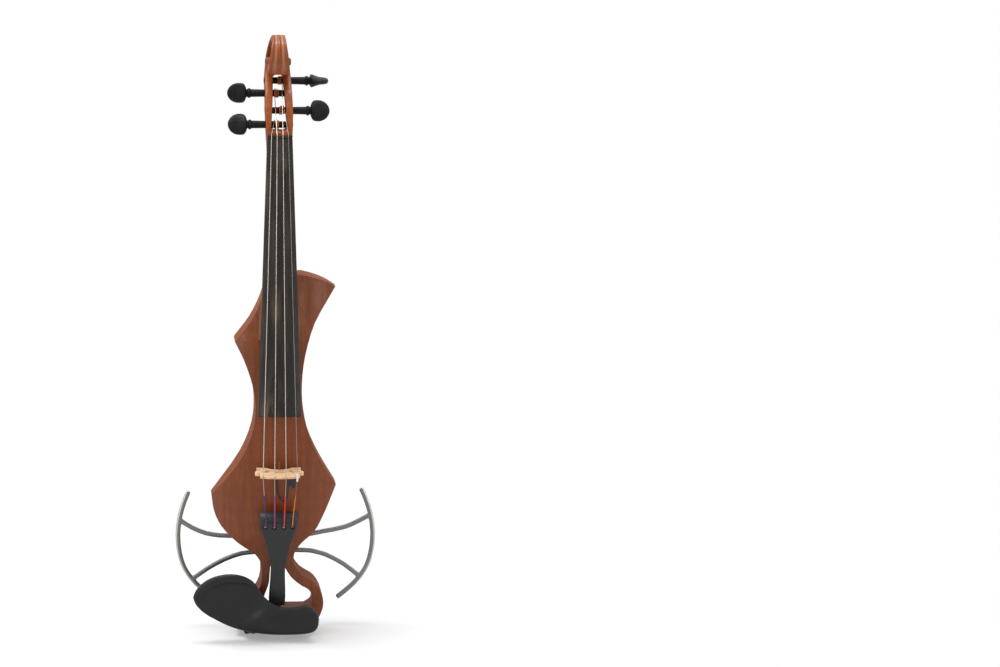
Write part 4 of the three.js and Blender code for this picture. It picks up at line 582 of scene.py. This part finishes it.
def moulded(name, colour, size=0.0006, rough=(0.42, 0.55), depth=0.00003, shine=0.4):
    """Moulded plastic: one colour, a fine skin and a roughness that drifts."""
    material, tree, shader = new_finish(name, Base_Color=colour, Specular_IOR_Level=shine)
    add_skin(tree, shader, size, 0.018, rough, depth)
    return material


black_plastic = moulded("black_plastic", tone(36, 36, 37))
peg_black = moulded("peg_black", tone(20, 20, 20), rough=(0.48, 0.58), shine=0.16)
chin_black = moulded("chin_black", tone(16, 16, 17), size=0.0005, rough=(0.4, 0.5), shine=0.32)
cover_black = moulded("cover_black", tone(18, 19, 20), size=0.0009, depth=0.00006)
door_black = moulded("door_black", tone(25, 26, 27), size=0.0012, depth=0.0001)
box_grey = moulded("box_grey", tone(76, 77, 78), size=0.0009, depth=0.00005)
white_sleeve = moulded("white_sleeve", tone(226, 224, 220), rough=(0.35, 0.45))
gut_brown = moulded("gut_brown", tone(92, 62, 44), rough=(0.35, 0.5))
lead_black = moulded("lead_black", tone(30, 30, 31), rough=(0.5, 0.6))
pin_brown = moulded("pin_brown", tone(120, 62, 36), rough=(0.35, 0.5))
tail_black = moulded("tail_black", tone(38, 39, 40), size=0.0005, rough=(0.46, 0.52), shine=0.3)
knob_black = moulded("knob_black", tone(20, 20, 21), rough=(0.36, 0.46))
ring_grey = moulded("ring_grey", tone(70, 71, 73), size=0.0007, rough=(0.36, 0.46))
board_green = moulded("board_green", tone(34, 78, 52), size=0.002, rough=(0.4, 0.6))
cell_shell = moulded("cell_shell", tone(70, 74, 84), size=0.003, rough=(0.3, 0.4))
print("plastics ready")

# %% [markdown]
# Cork is pressed from grains, so its colour changes from cell to cell, and the cell walls are
# dark and a little sunk.

# %% Cork
cork, tree, shader = new_finish("cork", Roughness=0.8, Specular_IOR_Level=0.2)
grains = add_node(tree, "TexVoronoi", {"Vector": place(tree), "Scale": 900.0})
grain_tone = add_node(tree, "SeparateColor", {0: grains.outputs["Color"]}).outputs[0]
tree.links.new(blend_colour(tree, grain_tone, tone(170, 122, 82), tone(128, 84, 52)),
               shader.inputs["Base Color"])
walls = remap(tree, grains.outputs["Distance"], 0.3, 0.6, 1, 0)
recolour(tree, shader, flipped(tree, walls), tone(84, 52, 34))
dent(tree, shader, walls, 0.0001)
print("cork ready")

# %% [markdown]
# The shoulder frame is cast aluminium with a bead-blasted skin. The screws are blackened steel,
# the strings bright wound steel, and the jack nut is nickel.

# %% Metals


def metal(name, colour, rough, size=0.0007, depth=0.00002, metallic=1.0):
    """Metal: a tinted mirror, dulled by a fine skin and by handling."""
    material, tree, shader = new_finish(name, Base_Color=colour, Metallic=metallic)
    add_skin(tree, shader, size, 0.015, rough, depth)
    return material


frame_alloy = metal("frame_alloy", tone(116, 116, 114), (0.3, 0.4), 0.0011, 0.00005, 0.8)
string_steel = metal("string_steel", tone(158, 154, 148), (0.3, 0.38))
plain_steel = metal("plain_steel", tone(118, 114, 110), (0.3, 0.38))
nickel = metal("nickel", tone(222, 214, 202), (0.16, 0.26))
black_steel = metal("black_steel", tone(44, 43, 42), (0.3, 0.42), metallic=0.6)
screw_steel = metal("screw_steel", tone(60, 60, 61), (0.34, 0.46), metallic=0.5)
print("metals ready")

# %% [markdown]
# Round each screw the frame is darker in a narrow ring. The outer edge of each wing gets a
# painted
# highlight: its X is a polynomial of its height, fitted to measured places, and metal less than
# two millimetres inside that curve is painted paler.

# %% Dark screw rings and painted wing highlights on the frame
tree, shader = parts_of(frame_alloy)
x_wire, y_wire, z_wire = axis_wires(tree)
for side in ("treble", "bass"):
    low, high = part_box(f"frame_screw_{side}")
    centre = (low + high) / 2
    away = reach_from(tree, x_wire, centre.x, z_wire, centre.z)
    ring = product(tree, remap(tree, away, 0.0044, 0.0048),
                   remap(tree, away, 0.0054, 0.0062, 1, 0))
    # the frame is darker in a narrow ring round each screw
    recolour(tree, shader, product(tree, ring, 0.85), tone(26, 26, 27))

# Outer edge of each wing, as (X, Z) in workshop millimetres.
WING_EDGES = {
    1: [(86.8, 139.6), (91.5, 128.8), (96.5, 112.7), (99.1, 93.3), (97.7, 74.7), (93.7, 59.9),
        (86.9, 48.0), (75.8, 35.9), (62.9, 25.3)],
    -1: [(88.4, 138.1), (92.5, 127.5), (96.9, 111.9), (98.8, 93.3), (97.1, 74.7), (93.0, 60.4),
         (86.2, 48.8), (75.2, 36.6), (62.4, 25.9)],
}
for side, edge in WING_EDGES.items():
    edge = np.array(edge)
    powers = np.polyfit(edge[:, 1], edge[:, 0], 5)
    rise = sum_of(tree, "SUBTRACT", product(tree, z_wire, 1000), WORKSHOP_SHIFT[2])
    reach = sum_of(tree, "ADD", 0.0, float(powers[0]))
    for power in powers[1:]:
        reach = sum_of(tree, "ADD", product(tree, reach, rise), float(power))
    inward = sum_of(tree, "SUBTRACT", reach, product(tree, x_wire, 1000 * side))
    rim_highlight = product(tree, remap(tree, inward, 1.2, 2.1, 1, 0), remap(tree, inward, -4, -3))
    # painted highlight along the outer edge of each wing
    recolour(tree, shader, product(tree, rim_highlight, 0.85), tone(196, 196, 191))
print("bright edges on", len(WING_EDGES), "wings")

# %% [markdown]
# The cross in a screw head is two bars: a point is in a bar where one distance from the screw's
# axis is small and the other is less than the bar's half length. The bars are painted nearly
# black as shade in the recess.

# %% Crosses in the frame screws
CROSS_TURN = math.radians(33)
tree, shader = parts_of(screw_steel)
here = add_node(tree, "TexCoord").outputs["Object"]
slots = []
for side in ("treble", "bass"):
    low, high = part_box(f"frame_screw_{side}")
    around = add_node(tree, "VectorMath", {0: here, 1: tuple((low + high) / 2)},
                      operation="SUBTRACT").outputs[0]
    turned = add_node(tree, "VectorRotate", {0: around, "Angle": CROSS_TURN},
                      rotation_type="Y_AXIS").outputs[0]
    parts = add_node(tree, "SeparateXYZ", {0: turned}).outputs
    wide, tall = (sum_of(tree, "ABSOLUTE", parts[k]) for k in (0, 2))
    slots += [product(tree, remap(tree, one, 0.00045, 0.0008, 1, 0),
                      remap(tree, other, 0.0021, 0.0026, 1, 0))
              for one, other in ((wide, tall), (tall, wide))]
cross = slots[0]
for slot_mask in slots[1:]:
    cross = sum_of(tree, "MAXIMUM", cross, slot_mask)
# painted shade: the cross bars nearly black as in a recess
recolour(tree, shader, product(tree, cross, 0.92), tone(10, 10, 10))
dent(tree, shader, flipped(tree, cross), 0.0006)
print("cross bars:", len(slots))

# %% [markdown]
# The two sockets are nickel outside and black inside. Each has its own finish: inside its bore,
# counted from its axis, the metal gives way to black, which is both the black insulator and
# painted shade in the hole. The larger one has a thread, a wave that runs along its axis, with
# painted shade in its valleys.

# %% Sockets
BLACK_HOLE = tone(10, 10, 11)


def bored_nickel(name, node, axis, bore):
    """Nickel that is black within bore metres of the node's axis, X or Y."""
    material = metal(name, tone(190, 182, 172), (0.16, 0.26))
    tree, shader = parts_of(material)
    wires = axis_wires(tree)
    low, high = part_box(node)
    centre = (low + high) / 2
    across = 1 if axis == 0 else 0
    away = reach_from(tree, wires[across], centre[across], wires[2], centre.z)
    inside = remap(tree, away, bore, bore * 1.04, 1, 0)
    # black in the bore: the insulator, and painted shade of the hole
    recolour(tree, shader, inside, BLACK_HOLE)
    tree.links.new(flipped(tree, inside), shader.inputs["Metallic"])
    return material, tree, shader, wires, away


phone_nickel = bored_nickel("phone_nickel", "headphone_socket", 1, 0.00185)[0]
jack_nickel, tree, shader, wires, away = bored_nickel("jack_nickel", "output_jack", 0, 0.0033)
wave = sum_of(tree, "COSINE", product(tree, wires[0], 2 * math.pi / 0.0011))
thread_valley_shade = product(tree, remap(tree, wave, -0.9, 0.2, 1, 0), remap(tree, away, 0.0035, 0.0037))
# painted shade in the thread's valleys
recolour(tree, shader, product(tree, thread_valley_shade, 0.9), tone(44, 38, 33))
dent(tree, shader, flipped(tree, thread_valley_shade), 0.0003)
print("sockets ready")

# %% [markdown]
# A string's end is wrapped in silk, whose colour tells the player which string it is. Silk is
# wound on in a steep screw line, so its threads cross the string's length. The pattern follows
# the tube's own UV map, whose V runs along the string in metres.

# %% Silk


def silk(name, light, deep, pitch=0.0009):
    """Silk thread: the share of a turn plus the length over the pitch gives the thread's phase,
    and its cosine gives light ridges between valleys of painted shade."""
    material, tree, shader = new_finish(name, Roughness=0.62, Specular_IOR_Level=0.3,
                                        Sheen_Weight=0.25, Sheen_Roughness=0.4)
    spot = add_node(tree, "UVMap", uv_map="length_map").outputs[0]
    across, along = (add_node(tree, "SeparateXYZ", {0: spot}).outputs[k] for k in (0, 1))
    phase = sum_of(tree, "ADD", across, sum_of(tree, "DIVIDE", along, pitch))
    wave = sum_of(tree, "COSINE", product(tree, phase, 2 * math.pi))
    ridge = sum_of(tree, "MULTIPLY_ADD", wave, 0.5)
    ridge.node.inputs[2].default_value = 0.5
    fuzz = noise(tree, place(tree), 1400.0)
    thread_shade_and_fuzz = product(tree, ridge, remap(tree, fuzz, 0.3, 0.6, 0.6, 1.0))
    # painted shade in the valleys between threads, with random fuzz
    tree.links.new(blend_colour(tree, thread_shade_and_fuzz, deep, light), shader.inputs["Base Color"])
    dent(tree, shader, ridge, 0.00008)
    return material


peg_silk = silk("orange_silk", tone(244, 146, 30), tone(196, 96, 12))
tail_silk = {
    "g": silk("violet_silk", tone(78, 48, 112), tone(44, 26, 74)),
    "d": silk("magenta_silk", tone(176, 68, 150), tone(122, 36, 104)),
    "a": silk("coral_silk", tone(232, 72, 82), tone(176, 38, 52)),
    "e": silk("amber_silk", tone(232, 142, 38), tone(180, 92, 18)),
}
print("silks:", peg_silk.name, *(m.name for m in tail_silk.values()))

# %% [markdown]
# The pickup's thin lead leaves the foot of the bridge, hangs in a loop in front of the body and
# goes back into the bridge. It is held at both ends, so its shape is fixed. It is one tube
# round a smooth path, with the same places as in the model.

# %% The pickup's lead
LEAD_PLACES = metres([
    [8.7, -53.69, 166.45], [8.7, -53.9, 162.73], [8.79, -54.2, 154.32], [8.3, -54.61, 145.35],
    [6.56, -52.76, 140.64], [3.48, -49.69, 139.2], [0.41, -47.46, 142.87],
    [-1.22, -47.46, 149.84], [-2.04, -48.68, 157.51], [-2.04, -48.68, 162.73],
    [-2.04, -48.68, 166.24]])
LEAD_THICK = 0.00175
LEAD_RINGS, LEAD_SIDES = 90, 14
lead_path = smooth_path(LEAD_PLACES, LEAD_RINGS)
lead_rings = tube_points(lead_path, LEAD_THICK / 2, LEAD_SIDES, steady=(0, 1, 0))
pickup_lead = put_in_scene("lead_loop", lead_rings, ring_faces(LEAD_RINGS, LEAD_SIDES),
                           lead_black)
lead_long = float(run_along(lead_path)[-1])
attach(pickup_lead, "instrument")
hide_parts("pickup_lead")
print("lead is", round(lead_long * 1000, 1), "mm long")

# %% [markdown]
# The pickup's flag is a small leaf of black film: it runs from the flag under the bridge towards
# the middle and ends in a blunt point. Its outline is a smooth closed path, and each ring of the
# mesh is that outline pulled towards its middle.

# %% The pickup's leaf
LEAF_OUTLINE = [[16.4, 165.9], [15.4, 161.8], [13.4, 158.2], [11.6, 155.6], [10.0, 154.2],
                [8.9, 154.8], [8.5, 158.0], [8.0, 162.0], [7.6, 165.3], [11.0, 166.0]]
LEAF_SIDES = 60
LEAF_INSET = 0.2


def leaf_rings(outline, front_y, back_y, steps=LEAF_SIDES):
    """Four rings: the outline at the back, at the front, and pulled in by a tenth on both."""
    closed = smooth_path(np.vstack([outline, outline[:1]]), steps + 1)[:-1]
    middle = closed.mean(0)
    rings = []
    for share, y in ((0.9, back_y), (1.0, back_y - 0.15), (1.0, front_y + 0.15), (0.9, front_y)):
        drawn = middle + (closed - middle) * share
        rings.append(np.stack([drawn[:, 0], np.full(steps, y), drawn[:, 1]], -1))
    return metres(np.array(rings))


flag_low, flag_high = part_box("pickup_flag")
flag_front, flag_back = (v * 1000 - WORKSHOP_SHIFT[1] for v in (flag_low.y, flag_high.y))
rings = leaf_rings(LEAF_OUTLINE, flag_front + LEAF_INSET, flag_back - LEAF_INSET)
leaf = put_in_scene("pickup_leaf", rings, ring_faces(len(rings), LEAF_SIDES), black_plastic)
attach(leaf, "instrument")
print("leaf from y", round(flag_front, 1), "to", round(flag_back, 1), "workshop mm")

# %% [markdown]
# On each peg the string's silk end is wound three times and then dives into its hole. The tube
# follows a screw line round the peg: its angle grows evenly while its X moves sideways. Its
# ends are short straight runs, one along the string and one into the hole.

# %% Silk on the pegs
WIND_THICK = 0.45
WIND_TURNS = 3
WIND_SIDES = 10
# Peg centre (Y, Z), the string's angle at the peg, winding radius, first and last X.
PEG_WINDS = {
    "g": ((-8.287, 502.236), -4.1543, 4.201, -4.400, -0.290),
    "d": ((12.044, 530.413), -3.9170, 4.189, -3.800, 0.310),
    "a": ((21.547, 541.795), -3.9000, 4.195, 4.100, -0.010),
    "e": ((-1.436, 515.164), -3.9464, 4.209, 4.800, 0.690),
}


def winding_path(centre, turn, reach, first_x, last_x, steps=132):
    """Screw line: Y and Z are the centre plus reach times cosine and sine of the falling angle,
    and X runs evenly from first to last. A straight run leads in and another dives inwards."""
    share = np.linspace(0, 1, steps)
    angle = turn - 2 * WIND_TURNS * np.pi * share
    loops = np.stack([first_x + (last_x - first_x) * share, centre[0] + reach * np.cos(angle),
                      centre[1] + reach * np.sin(angle)], -1)
    lead_in = loops[0] + 2 * WIND_THICK * np.array([0, -np.sin(turn), np.cos(turn)])
    inward = [[last_x, centre[0] + r * np.cos(turn - 0.3), centre[1] + r * np.sin(turn - 0.3)]
              for r in (reach - 0.6 * WIND_THICK, reach - 1.6 * WIND_THICK,
                        reach - 3.6 * WIND_THICK)]
    return metres(np.vstack([lead_in, loops, inward]))


for string, (centre, turn, reach, first_x, last_x) in PEG_WINDS.items():
    path = winding_path(centre, turn, reach, first_x, last_x)
    rings = tube_points(path, WIND_THICK / 1000, WIND_SIDES)
    wound = put_in_scene(f"peg_silk_{string}", rings, ring_faces(len(path), WIND_SIDES),
                         peg_silk)
    run = run_along(path)
    add_length_map(wound, len(path), WIND_SIDES, run)
    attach(wound, f"tuner_{string}")
    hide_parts(f"peg_winding_{string}")
    print(wound.name, "is", round(float(run[-1]) * 1000), "mm of silk")

# %% [markdown]
# At the tailpiece the last two centimetres of each string are wrapped in coloured silk. It is a
# thin sleeve over the string: the string's own path, a little thicker, tapering at its start.

# %% Silk at the tail
# Each string's radius and the corners of its path from the bridge down.
STRING_TAILS = {
    "g": (0.4, [[-16.5, -76.77, 167.7], [-13, -67.06, 124.98], [-13, -67.06, 123.08],
                [-13, -61.84, 117.2]]),
    "d": (0.38, [[-5.5, -79.54, 167.81], [-4.6, -68.94, 124.98], [-4.6, -68.94, 123.1],
                 [-4.6, -63.73, 117.2]]),
    "a": (0.34, [[5.5, -79.5, 167.81], [4.6, -68.9, 124.98], [4.6, -68.9, 123.14],
                 [4.6, -63.69, 117.2]]),
    "e": (0.25, [[16.5, -77.32, 167.72], [13, -66.91, 124.98], [13, -66.91, 123.23],
                 [13, -61.69, 117.2]]),
}
SILK_FROM = 150.5
SILK_WALL = 0.28
TAIL_SIDES = 12


def along_corners(corners, spacing=0.4):
    """Evenly spaced places on straight runs between corners."""
    corners = np.asarray(corners, float)
    run = run_along(corners)
    where = np.linspace(0, run[-1], max(2, int(run[-1] / spacing)))
    return np.stack([np.interp(where, run, corners[:, k]) for k in range(3)], -1)


for string, (thick, corners) in STRING_TAILS.items():
    above, ridge = np.array(corners[0]), np.array(corners[1])
    share = (above[2] - SILK_FROM) / (above[2] - ridge[2])
    path = along_corners([above + (ridge - above) * share, *corners[1:]])
    swell = np.minimum(1, np.linspace(0, 12, len(path)))
    reach = (thick + SILK_WALL * (0.35 + 0.65 * swell)) / 1000
    rings = tube_points(metres(path), reach, TAIL_SIDES)
    sleeve = put_in_scene(f"tail_silk_{string}", rings, ring_faces(len(path), TAIL_SIDES),
                          tail_silk[string])
    add_length_map(sleeve, len(path), TAIL_SIDES, run_along(metres(path)))
    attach(sleeve, "instrument")
print("silk sleeves start at", round(height(SILK_FROM), 3), "m")

# %% [markdown]
# A solid from the model has knife-sharp corners. A real one is sanded or moulded with a small
# radius that catches a line of light. A copy of the model's solid has its doubled points
# merged, then a Bevel modifier rounds every edge whose two faces meet at a real corner. The
# edge's weight says where: it is one for a corner and zero for a smooth or a glued edge.

# %% Softened copies of the solids


def read_array(items, label, kind, wide=1):
    """One property of all items of a mesh as an array."""
    values = np.zeros(len(items) * wide, kind)
    items.foreach_get(label, values)
    return values.reshape(-1, wide) if wide > 1 else values


def corner_angles(mesh):
    """The angle between the two faces at each edge, from the dot product of their normals."""
    edge_of_loop = read_array(mesh.loops, "edge_index", np.int32)
    normals = read_array(mesh.polygons, "normal", np.float32, 3)
    sides = read_array(mesh.polygons, "loop_total", np.int32)
    face_of_loop = np.repeat(np.arange(len(mesh.polygons)), sides)
    order = np.argsort(edge_of_loop, kind="stable")
    pairs = face_of_loop[order].reshape(-1, 2)
    dots = (normals[pairs[:, 0]] * normals[pairs[:, 1]]).sum(1)
    return np.degrees(np.arccos(np.clip(dots, -1, 1)))


def edge_middles(mesh):
    """The middle of each edge: half the sum of its two points."""
    points = read_array(mesh.vertices, "co", np.float32, 3)
    ends = read_array(mesh.edges, "vertices", np.int32, 2)
    return points[ends].mean(1)


def softened(node, material, width, corner=32, keep=None, segments=2, merge=2e-6):
    """A copy of a model's solid with merged points and rounded corners. keep names, from the
    middles of the edges, those that stay crisp because they are glued to a neighbour. Where
    merge is larger, edges shorter than that are gone and the bevel may use its whole width."""
    work = bmesh.new()
    work.from_mesh(nodes[node].data)
    bmesh.ops.remove_doubles(work, verts=work.verts, dist=merge)
    bmesh.ops.dissolve_limit(work, angle_limit=math.radians(0.4), verts=work.verts,
                             edges=work.edges)
    mesh = bpy.data.meshes.new(node + "_soft")
    work.to_mesh(mesh)
    work.free()
    mesh.polygons.foreach_set("use_smooth", np.ones(len(mesh.polygons), bool))
    mesh.set_sharp_from_angle(angle=math.radians(corner))
    weights = (corner_angles(mesh) > corner).astype(np.float32)
    if keep is not None:
        weights[keep(edge_middles(mesh))] = 0
    mesh.attributes.new("bevel_weight_edge", "FLOAT", "EDGE").data.foreach_set("value", weights)
    piece = bpy.data.objects.new(node + "_soft", mesh)
    bpy.context.scene.collection.objects.link(piece)
    mesh.materials.append(material)
    bevel = piece.modifiers.new("sanded", "BEVEL")
    bevel.width = width
    bevel.segments = segments
    bevel.limit_method = "WEIGHT"
    bevel.use_clamp_overlap = merge < 1e-4
    bevel.harden_normals = True
    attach(piece, nodes[node]["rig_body"])
    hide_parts(node)
    return piece


def melted(node, material, square, rounds, swell):
    """A copy of a model's solid whose corners flow: a Remesh modifier covers it with even
    squares, then each point drifts to the middle of its neighbours a number of rounds. The
    drift makes thin bars thinner, so each point first moves out by swell along its normal."""
    piece = softened(node, material, 0.0)
    piece.modifiers.clear()
    even = piece.modifiers.new("even", "REMESH")
    even.mode, even.voxel_size, even.use_smooth_shade = "VOXEL", square, True
    if swell:
        grow = piece.modifiers.new("grow", "DISPLACE")
        grow.strength, grow.mid_level, grow.direction = swell, 0.0, "NORMAL"
    drift = piece.modifiers.new("drift", "SMOOTH")
    drift.factor, drift.iterations = 0.5, rounds
    return piece


def on_plane(axis, place_m, reach=0.0002):
    """Picks the edges whose middle lies on a plane across that axis."""
    return lambda middles: np.abs(middles[:, axis] - place_m) < reach


glued = on_plane(1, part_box("back_plate")[0].y)
back_soft = softened("back_plate", back_wood, 0.0010, keep=glued, segments=3,
                     merge=0.0004)
softened("body", body_wood, 0.0003, keep=glued)
print("back copy has", len(back_soft.data.polygons), "faces")

# %% [markdown]
# Nearly every other piece is softened in the same way. Each row names the pieces, their finish,
# the radius in tenths of a millimetre and the angle from which an edge counts as a corner: wide
# for turned pieces, whose flats should blend into a smooth round.

# %% Radii of the other pieces
SOFT_ROWS = [
    (["fingerboard"], ebony, 7, 30),
    (["nut", "saddle"], ebony, 3, 30),
    (["clamp_screw_treble", "clamp_screw_bass"], black_steel, 1, 40),
    (["chinrest_pad_treble", "chinrest_pad_bass", "clamp_cork_treble", "clamp_cork_bass"],
     cork, 2, 30),
    (["control_housing"], cover_black, 6, 34),
    (["battery_door"], door_black, 4, 34),
    (["switch_frame"], ring_grey, 2, 34),
    (["power_switch", "knob_volume", "knob_treble", "knob_bass"], knob_black, 3, 36),
    (["jack_housing"], box_grey, 3, 34),
    (["frame_screw_treble", "frame_screw_bass"], screw_steel, 3, 36),
    (["headphone_socket"], phone_nickel, 2, 36),
    (["output_jack"], jack_nickel, 2, 36),
    (["jack_nut"], nickel, 2, 36),
]
for names, material, tenths, corner in SOFT_ROWS:
    for name in names:
        softened(name, material, tenths / 10000, corner)
print("softened", sum(len(row[0]) for row in SOFT_ROWS), "pieces")

# %% [markdown]
# Carved, turned and cast pieces are flowing forms with filled corners, so they are melted and
# not bevelled. Each row names the pieces, their finish, the side of the squares in hundredths
# of a millimetre, the number of rounds that the points drift, more for a softer form, and how
# far they move out before that, in hundredths of a millimetre.

# %% Flowing pieces
FLOWING_ROWS = [
    (["neck"], neck_wood, 70, 12, 0),
    (["peg_g", "peg_d", "peg_e", "peg_a"], peg_black, 40, 9, 0),
    (["bridge"], bridge_wood, 40, 3, 0),
    (["tailpiece"], tail_black, 50, 8, 0),
    (["end_button"], black_plastic, 40, 3, 0),
    (["chinrest_clamp_treble", "chinrest_clamp_bass"], chin_black, 40, 3, 0),
    (["chinrest"], chin_black, 80, 90, 50),
    (["shoulder_frame"], frame_alloy, 50, 26, 8),
]
for names, material, hundredths, rounds, swell in FLOWING_ROWS:
    for name in names:
        melted(name, material, hundredths / 100000, rounds, swell / 100000)
print("melted", sum(len(row[0]) for row in FLOWING_ROWS), "pieces")

# %% [markdown]
# The pieces that are left show no corner that needs a radius, or lie inside. They get their
# finish directly on the model's own solids.

# %% Finishes on the model's solids
FINISHES = {
    string_steel: ["string_g", "string_d", "string_a"],
    plain_steel: ["string_e"],
    white_sleeve: ["string_sleeve_e"],
    pin_brown: ["bridge_pin"],
    gut_brown: ["tailgut"],
    black_plastic: ["pickup_flag"],
    board_green: ["circuit_board"],
    cell_shell: ["battery"],
    box_grey: ["potentiometer_volume", "potentiometer_treble", "potentiometer_bass"],
}
for material, names in FINISHES.items():
    for name in names:
        nodes[name].data.materials.clear()
        nodes[name].data.materials.append(material)
print("finished", sum(len(names) for names in FINISHES.values()), "solids")

# %% [markdown]
# The photograph's ground is plain white with one soft shadow under the instrument. The floor
# is a large disc at the instrument's lowest point. To the camera it is a white that comes, near
# the instrument, mostly from its own colour under the lamps, which holds the shadow, and turns
# to a steady glow half a metre away. All other rays meet a plain pale floor.

# %% Floor and surroundings
FLOOR_LEVEL = model_box[0][2] - 0.0004
FLOOR_RADIUS, FLOOR_SIDES = 6, 96
WHITE = (1, 1, 1, 1)


def seen_directly(tree):
    """One for a camera, glossy or transmission ray, zero for any other."""
    ray = add_node(tree, "LightPath").outputs
    return sum_of(tree, "MAXIMUM", ray["Is Camera Ray"],
                  sum_of(tree, "MAXIMUM", ray["Is Glossy Ray"], ray["Is Transmission Ray"]))


floor_turn = np.linspace(0, 2 * np.pi, FLOOR_SIDES, endpoint=False)
floor_rim = np.stack([FLOOR_RADIUS * np.cos(floor_turn), FLOOR_RADIUS * np.sin(floor_turn),
                      np.full(FLOOR_SIDES, FLOOR_LEVEL)], -1)
floor_paper = bpy.data.materials.new("floor_paper")
floor_paper.use_nodes = True
tree = floor_paper.node_tree
tree.nodes.clear()
seen = seen_directly(tree)
x_wire, y_wire, z_wire = axis_wires(tree)
away = reach_from(tree, x_wire, 0.0, y_wire, -0.03)
plain = add_node(tree, "BsdfDiffuse", {"Color": tone(222, 222, 222)}).outputs[0]
held = add_node(tree, "BsdfDiffuse", {"Color": tone(196, 196, 196)}).outputs[0]
low_glow = add_node(tree, "Emission", {"Color": WHITE, "Strength": 0.28}).outputs[0]
glow = add_node(tree, "Emission", {"Color": WHITE, "Strength": 1.0}).outputs[0]
near = add_node(tree, "AddShader", {0: held, 1: low_glow}).outputs[0]
fade = remap(tree, away, 0.14, 0.5)
white = add_node(tree, "MixShader", {0: fade, 1: near, 2: glow}).outputs[0]
shown = add_node(tree, "MixShader", {0: seen, 1: plain, 2: white}).outputs[0]
tree.links.new(shown, tree.nodes.new("ShaderNodeOutputMaterial").inputs["Surface"])
floor = put_in_scene("floor", floor_rim, [list(range(FLOOR_SIDES))], floor_paper)

world = bpy.data.worlds.new("studio")
bpy.context.scene.world = world
world.use_nodes = True
tree = world.node_tree
tree.nodes.clear()
seen = seen_directly(tree)
soft = add_node(tree, "Background", {"Color": WHITE, "Strength": 0.5}).outputs[0]
bright = add_node(tree, "Background", {"Color": WHITE, "Strength": 1.0}).outputs[0]
shown = add_node(tree, "MixShader", {0: seen, 1: soft, 2: bright}).outputs[0]
tree.links.new(shown, tree.nodes.new("ShaderNodeOutputWorld").inputs["Surface"])
print("floor at", round(FLOOR_LEVEL, 4), "m")

# %% [markdown]
# Large soft lamps stand to both sides, in front and behind, because the instrument is looked at
# from all round. The one overhead is the strongest. The one high on the left draws the pale
# band along the flank.

# %% Lamps
MIDDLE = Vector(metres([0, -20, 290]))


def soft_lamp(name, azimuth, elevation, far, wide, tall, power):
    """An area lamp at that azimuth and elevation round the instrument, facing its middle."""
    a, e = math.radians(azimuth), math.radians(elevation)
    away = Vector((math.sin(a) * math.cos(e), -math.cos(a) * math.cos(e), math.sin(e)))
    data = bpy.data.lights.new(name, "AREA")
    data.shape = "RECTANGLE"
    data.size, data.size_y, data.energy = wide, tall, power
    lamp = bpy.data.objects.new(name, data)
    lamp.location = MIDDLE + away * far
    lamp.rotation_euler = away.to_track_quat("Z", "Y").to_euler()
    bpy.context.scene.collection.objects.link(lamp)


soft_lamp("front_left", -48, 8, 1.7, 0.4, 1.0, 4.6)
soft_lamp("front_right", 56, 8, 1.8, 0.5, 1.0, 5.6)
soft_lamp("left_high", -90, 62, 1.5, 1.0, 0.3, 10)
soft_lamp("back_left", 150, 30, 1.8, 1.0, 1.5, 7)
soft_lamp("back_right", -140, 26, 1.8, 1.0, 1.5, 7)
soft_lamp("overhead", 0, 89.9, 2.3, 1.7, 0.45, 38)

# %% [markdown]
# The view keeps the plain Standard look. The last line prints the model's box.

# %% View and the model's box
bpy.context.scene.view_settings.view_transform = "Standard"
print("model box", model_box)
